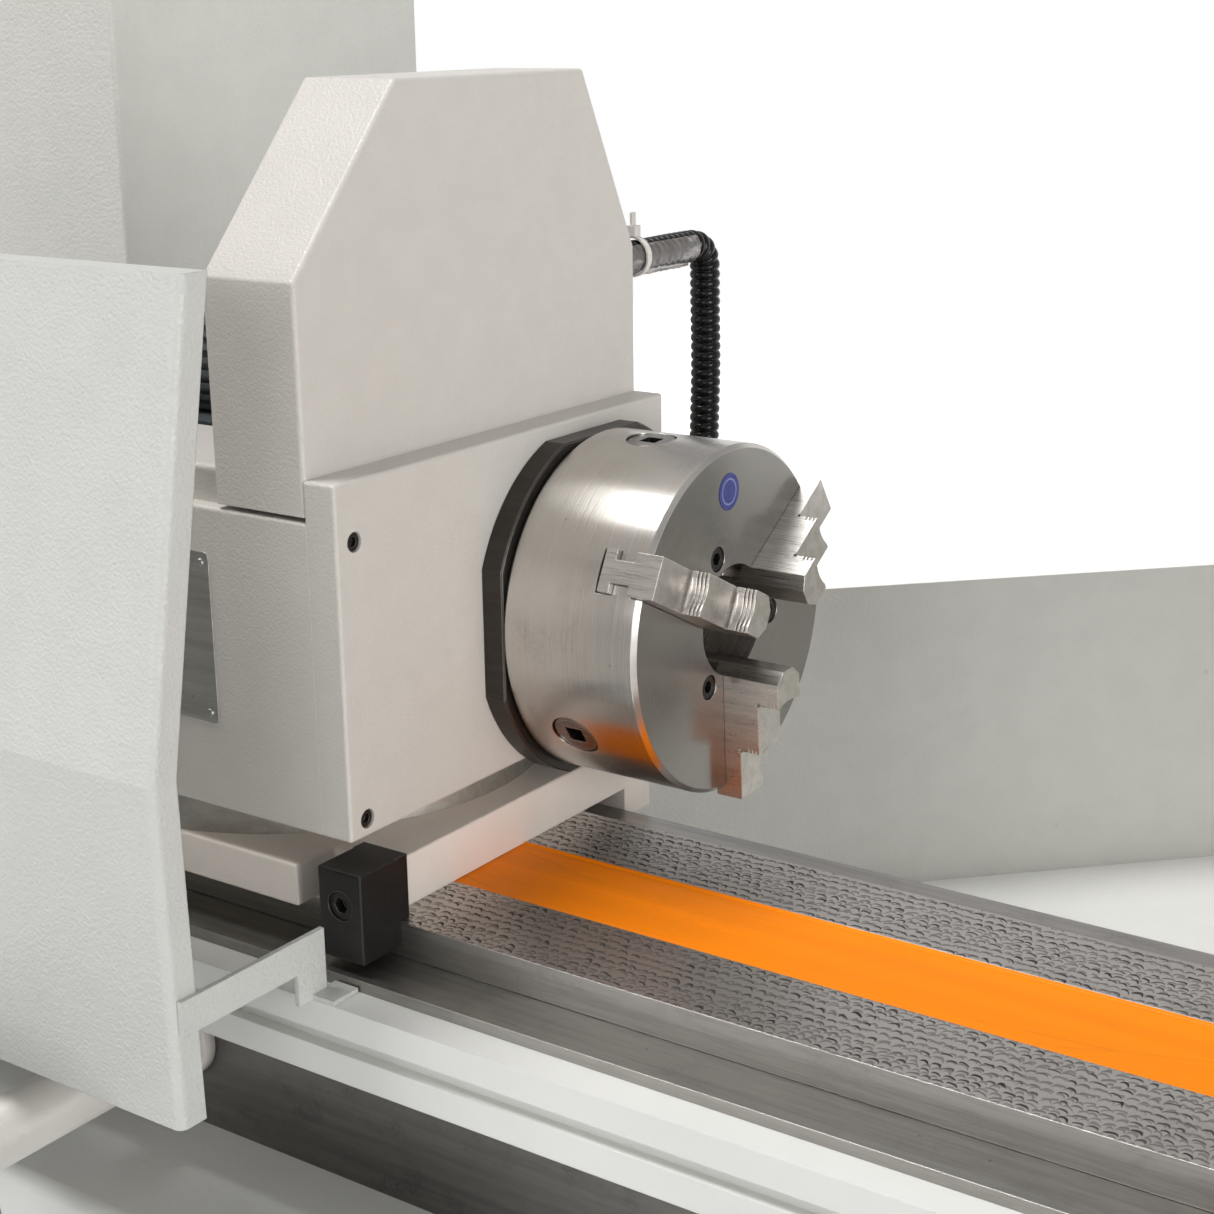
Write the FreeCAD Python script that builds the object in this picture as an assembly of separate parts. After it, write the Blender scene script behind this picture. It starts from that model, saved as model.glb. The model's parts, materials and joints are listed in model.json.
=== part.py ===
"""Cylindrical grinding machine.

A motor-driven workhead carries a three-jaw scroll chuck. It swivels on a base plate that is
clamped to an inclinable steel table, which slides along the ways of the bed. A tailstock faces
it, and a wheelhead feeds the grinding wheel in from the rear. Sheet screens stand in front of
the head and behind the table, and an electric cabinet stands at the back.

All sizes are millimetres. The model is drawn about the centre of the chuck's face: X runs along
the spindle and out of the chuck, Y to the rear, Z up. save() then moves every piece so that the
origin lies on the floor, in the middle of the machine.
"""
import FreeCAD
import Part
import math
import os

V = FreeCAD.Vector

# General clearances
running_gap = 0.05
seat_gap = 0.3
overrun = 1.0
screw_edge_share = 0.1

# Chuck
chuck_radius = 100.0
chuck_length = 88.0
chuck_bore_radius = 32.0
chuck_hub_wall = 4.0
chuck_front_wall = 24.0
chuck_chamfer = 2.5
chuck_cavity_radius = 80.0
chuck_screw_circle_radius = 42.0
chuck_screw_head_radius = 7.0
chuck_screw_head_length = 9.0
chuck_screw_socket_width = 7.0
chuck_screw_socket_depth = 5.0
chuck_screw_recess = 0.8
chuck_screw_angle = 113.0

# Scroll plate and its three key pinions
scroll_thickness = 13.0
scroll_groove_pitch = 8.0
scroll_groove_width = 4.0
scroll_groove_depth = 4.0
pinion_x = -51.0
pinion_radius = 12.0
pinion_length = 36.0
pinion_tip_radius = 99.0
pinion_socket_width = 11.0
pinion_socket_depth = 16.0
pinion_collar_radius = 14.5
pinion_collar_length = 9.0
pinion_collar_edge = 1.2

# Jaws
jaw_first_angle = 33.0
jaw_count = 3
jaw_width = 24.0
jaw_length = 80.0
jaw_inner_radius = 24.0
jaw_low_height = 10.5
jaw_middle_height = 22.5
jaw_top_height = 35.5
jaw_first_step = 20.0
jaw_second_step = 50.0
jaw_neck_width = 12.6
jaw_foot_depth = 25.0
jaw_foot_thickness = 7.0
jaw_groove_top = 6.0
jaw_notch = 2.2
jaw_nose_chamfer = 7.0
jaw_bite_radius = 22.0
jaw_bite_depth = 1.8
jaw_tooth_pitch = 2.4
jaw_tooth_depth = 1.1
jaw_tooth_count = 3
jaw_slot_floor = 4.0

# Backplate between chuck and spindle
backplate_radius = 105.0
backplate_flat = 98.3
backplate_length = 13.7
backplate_chamfer = 0.8

# Spindle, bearings and pulley
spindle_radius = 30.0
spindle_bore_radius = 12.0
spindle_tail = 8.0
bearing_radius = 45.0
bearing_width = 18.0
bearing_groove = 2.0
spindle_pulley_radius = 52.0
pulley_flange_height = 8.0
pulley_flange_width = 4.0
belt_width = 18.0
belt_thickness = 5.0

# Workhead casting and front plate
head_face_x = -102.0
plate_thickness = 20.0
plate_top_z = 106.8
plate_lip = 3.5
head_front_y = -214.0
head_rear_y = 84.0
head_length = 320.0
head_half_height = 85.0
head_edge_radius = 2.0
head_foot_radius = 149.5
head_foot_height = 24.0
pad_front_y = -205.0
pad_rear_y = -125.0
pad_height = 20.0
pad_margin = 4.0
pad_edge_radius = 3.0
pulley_pocket_length = 62.0
pulley_pocket_front_y = -105.0
pulley_pocket_rear_y = 75.0
pulley_pocket_floor_z = -72.0
plate_screw_inset_y = 13.5
plate_screw_z = 75.0
plate_screw_head_radius = 5.0
plate_screw_head_length = 6.0
plate_screw_socket_width = 5.0
plate_screw_shank_radius = 3.0
plate_screw_shank_length = 24.0
plate_screw_recess = 1.2

# Belt cover on top of the casting
cover_width = 63.0
cover_seam = 2.6
cover_shoulder_front_z = 205.5
cover_shoulder_rear_z = 195.0
cover_top_z = 300.0
cover_top_front_y = -131.0
cover_top_rear_y = 34.0
cover_wall = 5.0
cover_edge_radius = 2.5

# Workhead motor
motor_y = -64.0
motor_z = 132.0
motor_radius = 40.0
motor_fin_height = 4.0
motor_fin_count = 36
motor_fin_share = 0.45
motor_length = 180.0
motor_flange_radius = 58.0
motor_flange_length = 10.0
motor_foot_height = 20.0
motor_foot_width = 110.0
motor_foot_length = 150.0
motor_web_width = 60.0
fan_cover_radius = 44.0
fan_cover_length = 42.0
fan_cover_edge = 8.0
fan_slot_depth = 3.0
fan_slot_radius = 34.0
fan_slot_count = 12
fan_slot_width = 5.0
fan_slot_length = 18.0
motor_shaft_radius = 9.5
motor_pulley_radius = 26.0
terminal_box_length = 70.0
terminal_box_width = 44.0
terminal_box_height = 22.0

# Swivel base
swivel_x = -272.0
swivel_y = -65.0
swivel_ring_radius = 150.0
swivel_ring_height = 21.7
swivel_pin_radius = 20.0
swivel_pin_reach = 30.0
base_thickness = 29.0
base_front_y = -213.0
base_lip_drop = 24.0
base_rear_y = 66.0
base_hook_width = 28.0
base_hook_drop = 19.5
base_edge_radius = 1.5

# Table clamp at the front corner of the base
clamp_width = 30.0
clamp_front_y = -220.0
clamp_overhang = 10.0
clamp_rise = 8.0
clamp_drop = 14.0
clamp_notch_left_x = -144.0
clamp_notch_rear_y = -182.0
clamp_edge_radius = 1.2
clamp_screw_x = -107.0
clamp_screw_z = -119.0
clamp_screw_head_radius = 8.0
clamp_screw_head_length = 10.0
clamp_screw_socket_width = 8.0
clamp_screw_socket_depth = 6.0
clamp_screw_shank_radius = 5.0
clamp_screw_shank_length = 36.0
clamp_screw_recess = 1.0

# Inclinable steel table
table_top_z = -136.0
table_front_y = -190.0
table_rear_y = -7.0
table_left_x = -520.0
table_right_x = 1010.0
table_edge_height = 20.0
table_step_depth = 14.0
table_step_width = 44.0
stripe_front_y = -132.0
stripe_rear_y = -64.0
stripe_depth = 0.8
table_pin_x = 245.0
table_pin_y = -98.0
table_pin_radius = 15.0
table_pin_seat = 6.0

# Sliding lower table with its front rail and rack
slide_left_x = -560.0
slide_right_x = 1050.0
slide_front_y = -224.0
slide_rear_y = 50.0
slide_height = 49.7
rail_width = 20.0
rail_drop = 6.7
rail_slot_height = 9.0
rail_slot_depth = 7.0
rack_module = 3.0
rack_teeth = 61
rack_front_y = -112.0
rack_width = 22.0
rack_back = 10.0
pinion_teeth = 16
pinion_wheel_width = 18.0
tooth_root_share = 0.315
tooth_tip_share = 0.12

# Handwheels of the table and of the cross feed
wheel_x = -255.0
shaft_radius = 11.0
wheel_radius = 78.0
wheel_rim_radius = 9.0
wheel_web = 9.0
wheel_hub_radius = 22.0
wheel_hub_length = 34.0
wheel_front_y = -408.0
grip_radius = 10.0
grip_length = 56.0
grip_offset = 60.0
feed_x = 575.0
feed_z = -245.0
feed_end_y = 400.0

# Bed, a T in plan with a wider middle behind the table
bed_left_x = -855.0
bed_right_x = 1345.0
bed_front_y = -300.0
bed_top_z = -300.0
bed_height = 760.0
bed_wall = 25.0
bed_top_thickness = 30.0
bed_edge_radius = 8.0
bed_plinth_height = 60.0
bed_plinth_inset = 30.0
way_top_z = -206.3
way_inset = 20.0
front_way_y = -170.0
front_way_width = 60.0
rear_way_y = 5.0
rear_way_width = 60.0
vee_half_width = 18.0
vee_height = 15.0

# Front splash guard, a leaning screen of folded sheet
guard_sheet = 3.0
guard_edge_radius = 5.0
guard_left_x = -600.0
guard_right_x = -110.0
guard_top_y = -299.0
guard_top_z = 220.0
guard_crease_y = -341.0
guard_crease_z = -15.0
guard_bottom_y = -338.0
guard_bottom_z = -196.0
guard_flange = 17.0
arm_thickness = 3.0
arm_end_y = -233.0
arm_top_z = -126.0
arm_height = 19.0
arm_tab_width = 21.0
arm_foot = 16.0

# Rear splash wall
wall_sheet = 3.0
wall_margin = 10.0
wall_wing_y = 180.0
wall_bend_x = -213.0
wall_rear_y = 600.0
wall_right_x = 860.0
wall_wing_height = 130.0
wall_height = 233.0
wall_rise = 98.0

# Electric cabinet behind the bed's left wing
box_overhang = 245.0
box_width = 417.0
box_rear_y = 560.0
box_top_z = 400.0
box_sheet = 3.0
box_edge_radius = 4.0
door_thickness = 20.0
door_wall = 2.0
door_margin = 2.0
handle_length = 120.0
handle_width = 16.0
handle_depth = 24.0
handle_inset = 40.0
hinge_radius = 7.0
hinge_length = 60.0
hinge_inset = 180.0

# Wheelhead and its base
head_base_left_x = 430.0
head_base_right_x = 730.0
head_base_front_y = 140.0
head_base_rear_y = 580.0
head_base_top_z = -180.0
feed_travel = 100.0
wheelhead_front_y = 165.0
wheelhead_rear_y = 570.0
wheelhead_top_z = 120.0
wheelhead_skirt = 15.0
wheelhead_skirt_drop = 25.0
wheelhead_edge_radius = 12.0
wheelhead_nose_share = 0.32
wheel_axis_y = 285.0
feed_nut_width = 30.0
feed_nut_length = 60.0
feed_nut_y = 300.0
feed_pocket_margin = 6.0

# Grinding wheel, flanges, spindle and guard
grinding_radius = 200.0
grinding_width = 50.0
grinding_left_x = 350.0
grinding_bore_radius = 63.5
flange_radius = 95.0
flange_thickness = 10.0
wheel_spindle_radius = 30.0
wheel_nut_radius = 36.0
wheel_nut_length = 14.0
wheel_guard_radius = 228.0
wheel_guard_plate = 4.0
wheel_guard_rim = 8.0
wheel_guard_side_gap = 15.0
wheel_guard_hole_radius = 45.0
wheel_guard_front_angle = 130.0
wheel_guard_low_angle = 268.0

# Wheel motor and its belt drive
wheel_motor_y = 400.0
wheel_motor_radius = 82.0
wheel_motor_length = 250.0
wheel_motor_rise = 95.0
wheel_motor_foot_height = 10.0
wheel_motor_foot_width = 190.0
wheel_motor_shaft_radius = 14.0
drive_pulley_radius = 58.0
drive_pulley_length = 36.0
drive_pulley_gap = 15.0
drive_belt_width = 28.0
drive_belt_thickness = 7.0
drive_groove_depth = 5.0
drive_cover_wall = 4.0
drive_cover_margin = 16.0
drive_cover_edge = 10.0

# Tailstock
tail_tip_x = 700.0
tail_centre_radius = 14.0
tail_taper_share = 0.9
quill_radius = 26.0
quill_left_x = 738.0
quill_length = 168.0
quill_socket_depth = 26.0
tail_left_x = 762.0
tail_length = 130.0
tail_front_y = -184.0
tail_rear_y = 46.0
tail_head_radius = 48.0
tail_lever_x = 826.0
tail_lever_hub_radius = 15.0
tail_lever_hub_length = 14.0
tail_lever_radius = 6.0
tail_lever_length = 110.0
tail_knob_radius = 15.0

# Control panel with its two buttons
panel_left_x = 900.0
panel_width = 190.0
panel_height = 120.0
panel_depth = 60.0
panel_top_z = -340.0
panel_wall = 3.0
panel_edge_radius = 6.0
button_radius = 11.0
button_stem_radius = 8.0
button_head_length = 9.0
button_travel = 4.0
stop_radius = 20.0
stop_head_length = 14.0
button_inset = 55.0

# Motor lead in a ribbed hose
hose_x = -150.0
hose_z = 183.0
hose_reach_y = 209.0
hose_end_z = -20.0
hose_radius = 10.0
hose_root_radius = 8.4
hose_bore_radius = 6.5
hose_bend_radius = 30.0
hose_rib_pitch = 6.0
hose_crest_share = 0.45
hose_flank_share = 0.08
hose_pitch_steps = 50
sleeve_start_y = 108.0
sleeve_end_y = 178.0
sleeve_wall = 1.2
tie_y = 122.0
tie_width = 4.5
tie_thickness = 1.4
tie_head = 7.0
tie_tail = 8.0

# Blank name plate on the head's front
name_plate_right_x = -193.0
name_plate_length = 70.0
name_plate_height = 96.0
name_plate_middle_z = 12.0
name_plate_thickness = 0.8
name_plate_corner = 3.0
rivet_radius = 2.2
rivet_height = 1.0
rivet_inset = 6.0

# Places worked out from the sizes above
bed_bottom_z = bed_top_z - bed_height
bed_rear_y = wall_rear_y + wall_margin
bed_wing_rear_y = wall_wing_y + wall_margin
front_reach_y = wheel_front_y - wheel_web / 2 - seat_gap - grip_length
box_left_x = bed_left_x - box_overhang
box_right_x = box_left_x + box_width
floor_shift = V((handle_depth - box_left_x - bed_right_x) / 2, -(front_reach_y + bed_rear_y) / 2,
                -bed_bottom_z)
head_rear_x = head_face_x - plate_thickness - head_length
casting_front_x = head_face_x - plate_thickness
base_top_z = table_top_z + base_thickness
swivel_top_z = base_top_z + swivel_ring_height
slide_top_z = table_top_z - table_edge_height - seat_gap
slide_bottom_z = slide_top_z - slide_height
clamp_rear_y = table_front_y - seat_gap
jaw_angles = [jaw_first_angle + 360.0 / jaw_count * k for k in range(jaw_count)]
pinion_angles = [angle + 180.0 / jaw_count for angle in jaw_angles]
chuck_screw_angles = [chuck_screw_angle + 360.0 / jaw_count * k for k in range(jaw_count)]
belt_middle_x = casting_front_x - pulley_pocket_length / 2
pulley_length = belt_width + 2 * (pulley_flange_width + running_gap + seat_gap)
rack_pitch = math.pi * rack_module
rack_depth = 2.25 * rack_module
pinion_pitch_radius = rack_module * pinion_teeth / 2
rack_tip_z = slide_bottom_z - rack_back - rack_depth
wheel_z = rack_tip_z + rack_module - pinion_pitch_radius - seat_gap
grinding_right_x = grinding_left_x + grinding_width
wheelhead_left_x = grinding_right_x + wheel_guard_side_gap
wheelhead_right_x = head_base_right_x + wheelhead_skirt
wheel_motor_z = wheelhead_top_z + wheel_motor_rise
drive_pulley_x = wheelhead_right_x + drive_pulley_gap

def save(node, *solids):
    """Move the solids into the part's frame and write them as one node."""
    shape = solids[0] if len(solids) == 1 else Part.makeCompound(list(solids))
    shape = shape.copy()
    shape.translate(floor_shift)
    for number, solid in enumerate(shape.Solids):
        if not solid.isValid():
            print("NOT VALID", node, number)
    bounds = shape.BoundBox
    print(f"{node:24s} {len(shape.Solids)} solids  {shape.Volume / 1e3:9.1f} cm3  "
          f"X {bounds.XMin:7.1f} {bounds.XMax:7.1f}  Y {bounds.YMin:7.1f} {bounds.YMax:7.1f}  "
          f"Z {bounds.ZMin:7.1f} {bounds.ZMax:7.1f}")
    shape.exportStep(f"parts/{node}.step")


def block(x0, x1, y0, y1, z0, z1):
    """A box between two corners."""
    return Part.makeBox(x1 - x0, y1 - y0, z1 - z0, V(x0, y0, z0))


def rod_x(x0, x1, radius, y=0.0, z=0.0):
    """A cylinder along X."""
    return Part.makeCylinder(radius, x1 - x0, V(x0, y, z), V(1, 0, 0))


def rod_y(y0, y1, radius, x=0.0, z=0.0):
    """A cylinder along Y."""
    return Part.makeCylinder(radius, y1 - y0, V(x, y0, z), V(0, 1, 0))


def rod_z(z0, z1, radius, x=0.0, y=0.0):
    """A cylinder along Z."""
    return Part.makeCylinder(radius, z1 - z0, V(x, y, z0), V(0, 0, 1))


def ring_x(x0, x1, outer, inner, y=0.0, z=0.0):
    """A tube along X."""
    bore = rod_x(x0 - overrun, x1 + overrun, inner, y, z)
    return rod_x(x0, x1, outer, y, z).cut(bore)


def prism_x(outline, x0, x1):
    """A prism along X from (y, z) points."""
    wire = Part.makePolygon([V(x0, y, z) for y, z in outline + outline[:1]])
    return Part.Face(wire).extrude(V(x1 - x0, 0, 0))


def prism_y(outline, y0, y1):
    """A prism along Y from (x, z) points."""
    wire = Part.makePolygon([V(x, y0, z) for x, z in outline + outline[:1]])
    return Part.Face(wire).extrude(V(0, y1 - y0, 0))


def prism_z(outline, z0, z1):
    """A prism along Z from (x, y) points."""
    wire = Part.makePolygon([V(x, y, z0) for x, y in outline + outline[:1]])
    return Part.Face(wire).extrude(V(0, 0, z1 - z0))


def join(first, *others):
    """One solid from pieces that overlap or touch."""
    return first.fuse(list(others)).removeSplitter()


def edges_where(shape, test):
    """The edges whose middle point and direction pass a test."""
    chosen = []
    for edge in shape.Edges:
        middle = edge.valueAt((edge.FirstParameter + edge.LastParameter) / 2)
        if test(edge, middle):
            chosen.append(edge)
    return chosen


def straight(edge):
    """Whether an edge is a straight line."""
    return isinstance(edge.Curve, (Part.Line, Part.LineSegment))


def rounded(shape, radius, test):
    """The shape with the chosen edges rounded."""
    return shape.makeFillet(radius, edges_where(shape, test))


def bevelled(shape, size, test):
    """The shape with the chosen edges bevelled."""
    return shape.makeChamfer(size, edges_where(shape, test))


def hexagon_y(width, y0, y1, x, z):
    """A hexagonal prism along Y with a given width across flats."""
    corner = width / math.sqrt(3)
    angles = [math.radians(60 * k) for k in range(6)]
    return prism_y([(x + corner * math.cos(a), z + corner * math.sin(a)) for a in angles], y0, y1)


def turned(shape, angle):
    """The shape turned about the spindle axis, from +Y towards +Z."""
    copy = shape.copy()
    copy.rotate(V(0, 0, 0), V(1, 0, 0), angle)
    return copy


def cap_screw(head_radius, head_length, socket_width, socket_depth, shank_radius, shank_length):
    """A socket cap screw whose head top is at the origin and whose shank runs along -X."""
    head = bevelled(rod_x(-head_length, 0, head_radius), head_radius * screw_edge_share,
                    lambda edge, p: abs(p.x) < running_gap and not straight(edge))
    shank = rod_x(-head_length - shank_length, -head_length, shank_radius)
    corner = socket_width / math.sqrt(3)
    angles = [math.radians(60 * k) for k in range(6)]
    socket = prism_x([(corner * math.cos(a), corner * math.sin(a)) for a in angles],
                     -socket_depth, overrun)
    return join(head, shank).cut(socket)


def moved(shape, x, y, z):
    """A copy of the shape at another place."""
    copy = shape.copy()
    copy.translate(V(x, y, z))
    return copy


def jaw_section(grow):
    """The jaw's guide seen along its slot, as (across, x) points, grown by a clearance."""
    half = jaw_width / 2 + grow
    neck = jaw_neck_width / 2 + grow
    foot = -jaw_foot_depth - grow
    shoulder = -jaw_foot_depth + jaw_foot_thickness + grow
    groove_top = -jaw_groove_top - grow
    return half, neck, foot, shoulder, groove_top


def jaw_bar(inner, outer, grow, top):
    """The grooved bar of one jaw lying along +Y, from one radius to another."""
    half, neck, foot, shoulder, groove_top = jaw_section(grow)
    bar = block(foot, top, inner, outer, -half, half)
    for side in (-1, 1):
        low, high = sorted((side * neck, side * (half + overrun)))
        bar = bar.cut(block(shoulder, groove_top, inner - overrun, outer + overrun, low, high))
    return bar


def make_jaw():
    """One stepped jaw lying along +Y."""
    inner = jaw_inner_radius
    outer = inner + jaw_length
    jaw = jaw_bar(inner, outer, 0, jaw_top_height)
    half = jaw_width / 2 + overrun
    steps = ((jaw_first_step, jaw_middle_height), (jaw_second_step, jaw_low_height))
    for start, height in steps:
        corner = inner + start
        jaw = jaw.cut(block(height, jaw_top_height + overrun, corner, outer + overrun, -half, half))
    for start, height in steps:
        notch = block(height - jaw_notch / 2, height + jaw_notch / 2, inner + start - jaw_notch / 2,
                      inner + start + jaw_notch / 2, -half, half)
        jaw = jaw.cut(notch)
    nose = jaw_nose_chamfer
    reach = jaw_width / 2
    for side in (-1, 1):
        wedge = [(inner - overrun, side * (reach + overrun)),
                 (inner - overrun, side * (reach - nose - overrun)),
                 (inner + nose, side * (reach + overrun))]
        wire = Part.makePolygon([V(-jaw_foot_depth - overrun, y, z) for y, z in wedge + wedge[:1]])
        tall = jaw_foot_depth + jaw_top_height + 2 * overrun
        jaw = jaw.cut(Part.Face(wire).extrude(V(tall, 0, 0)))
    for start, low, high in ((jaw_first_step, jaw_middle_height, jaw_top_height),
                             (jaw_second_step, jaw_low_height, jaw_middle_height)):
        bite = rod_x(low + jaw_notch, high + overrun, jaw_bite_radius,
                     inner + start + jaw_bite_radius - jaw_bite_depth)
        jaw = jaw.cut(bite)
        for tooth in range(jaw_tooth_count):
            level = high - jaw_tooth_pitch * (tooth + 1)
            groove = prism_z([(level, inner + start + overrun), (level, inner + start - jaw_bite_depth),
                              (level + jaw_tooth_pitch / 4,
                               inner + start - jaw_bite_depth - jaw_tooth_depth),
                              (level + jaw_tooth_pitch / 2, inner + start - jaw_bite_depth),
                              (level + jaw_tooth_pitch / 2, inner + start + overrun)], -half, half)
            jaw = jaw.cut(groove)
    return jaw


def make_chuck():
    """Chuck body, scroll, pinions, collars, jaws and face screws."""
    body = bevelled(rod_x(-chuck_length, 0, chuck_radius), chuck_chamfer,
                    lambda edge, p: not straight(edge))
    body = body.cut(rod_x(-chuck_length - overrun, overrun, chuck_bore_radius))
    hub_radius = chuck_bore_radius + chuck_hub_wall
    body = body.cut(ring_x(-chuck_length - overrun, -chuck_front_wall, chuck_cavity_radius,
                           hub_radius))
    slot = jaw_bar(chuck_bore_radius / 2, chuck_radius + overrun, seat_gap, overrun)
    slot_half = jaw_width / 2 + seat_gap
    slot = slot.fuse(block(-jaw_foot_depth - jaw_slot_floor, -jaw_foot_depth, chuck_cavity_radius,
                           chuck_radius + overrun, -slot_half, slot_half))
    for angle in jaw_angles:
        body = body.cut(turned(slot, angle))
    hole = rod_y(hub_radius + overrun, chuck_radius + overrun, pinion_radius + running_gap,
                 pinion_x)
    seat = rod_y(pinion_tip_radius - pinion_collar_length, chuck_radius + overrun,
                 pinion_collar_radius, pinion_x)
    for angle in pinion_angles:
        body = body.cut(turned(hole.fuse(seat), angle))
    screw_hole = rod_x(-chuck_screw_head_length - chuck_screw_recess, overrun,
                       chuck_screw_head_radius + seat_gap, chuck_screw_circle_radius)
    for angle in chuck_screw_angles:
        body = body.cut(turned(screw_hole, angle))
    save("chuck_body", body)

    scroll_front = -jaw_foot_depth - seat_gap
    scroll_radius = chuck_cavity_radius - seat_gap
    scroll = ring_x(scroll_front - scroll_thickness, scroll_front, scroll_radius,
                    hub_radius + running_gap)
    turn_radius = hub_radius + scroll_groove_pitch
    while turn_radius < scroll_radius - scroll_groove_width:
        scroll = scroll.cut(ring_x(scroll_front - scroll_groove_depth, scroll_front + overrun,
                                   turn_radius + scroll_groove_width / 2,
                                   turn_radius - scroll_groove_width / 2))
        turn_radius += scroll_groove_pitch
    save("scroll_plate", scroll)

    half = pinion_socket_width / 2
    pinion = rod_y(pinion_tip_radius - pinion_length, pinion_tip_radius, pinion_radius, pinion_x)
    pinion = pinion.cut(block(pinion_x - half, pinion_x + half,
                              pinion_tip_radius - pinion_socket_depth,
                              pinion_tip_radius + overrun, -half, half))
    for number, angle in enumerate(pinion_angles):
        save(f"chuck_pinion_{number + 1}", turned(pinion, angle))

    collar = rod_y(pinion_tip_radius - pinion_collar_length, pinion_tip_radius,
                   pinion_collar_radius, pinion_x)
    collar = bevelled(collar, pinion_collar_edge,
                      lambda edge, p: not straight(edge) and p.y > pinion_tip_radius - seat_gap)
    collar = collar.cut(rod_y(0, chuck_radius, pinion_radius + running_gap, pinion_x))
    save("pinion_collars", *[turned(collar, angle) for angle in pinion_angles])

    jaw = make_jaw()
    for number, angle in enumerate(jaw_angles):
        save(f"chuck_jaw_{number + 1}", turned(jaw, angle))

    screw = cap_screw(chuck_screw_head_radius, chuck_screw_head_length, chuck_screw_socket_width,
                      chuck_screw_socket_depth, chuck_screw_head_radius / 2, overrun)
    shallow = screw.common(block(-chuck_screw_head_length, overrun, -chuck_radius, chuck_radius,
                                 -chuck_radius, chuck_radius))
    place = moved(shallow, -chuck_screw_recess, chuck_screw_circle_radius, 0)
    save("chuck_face_screws", *[turned(place, angle) for angle in chuck_screw_angles])


def v_pulley(radius, inner, y, z):
    """A flanged pulley in the belt's plane."""
    left = belt_middle_x - pulley_length / 2
    right = belt_middle_x + pulley_length / 2
    rim = ring_x(left, right, radius + pulley_flange_height, inner, y, z)
    groove = ring_x(left + pulley_flange_width, right - pulley_flange_width,
                    radius + pulley_flange_height + overrun, radius, y, z)
    return rim.cut(groove)


def make_spindle():
    """Backplate, spindle, its bearings and pulley."""
    rear = -chuck_length - backplate_length
    flange = rod_x(rear, -chuck_length, backplate_radius)
    flange = flange.common(block(rear - overrun, overrun, -backplate_flat, backplate_flat,
                                 -backplate_flat, backplate_flat))
    flange = bevelled(flange, backplate_chamfer,
                      lambda edge, p: p.x > -chuck_length - running_gap)
    flange = flange.cut(rod_x(-chuck_length - backplate_length - overrun, overrun, spindle_radius))
    save("backplate", flange)

    tail_x = head_rear_x - spindle_tail
    shaft = rod_x(tail_x, -chuck_length - overrun, spindle_radius - running_gap)
    shaft = shaft.fuse(rod_x(-chuck_length - backplate_length, -chuck_length - overrun,
                             spindle_radius))
    shaft = shaft.removeSplitter()
    save("workhead_spindle", shaft.cut(rod_x(tail_x - overrun, overrun, spindle_bore_radius)))

    bearings = []
    lip_x = head_face_x - plate_lip
    pocket_x = casting_front_x - pulley_pocket_length
    for right in (lip_x, pocket_x - seat_gap, head_rear_x + bearing_width + seat_gap):
        width = min(bearing_width, plate_thickness - plate_lip) if right == lip_x else bearing_width
        ring = ring_x(right - width, right, bearing_radius, spindle_radius)
        middle = (bearing_radius + spindle_radius) / 2
        for face in (right - width, right):
            ring = ring.cut(ring_x(face - bearing_groove, face + bearing_groove,
                                   middle + bearing_groove, middle - bearing_groove))
        bearings.append(ring)
    save("spindle_bearings", *bearings)

    save("spindle_pulley", v_pulley(spindle_pulley_radius, spindle_radius - running_gap, 0, 0))


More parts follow.
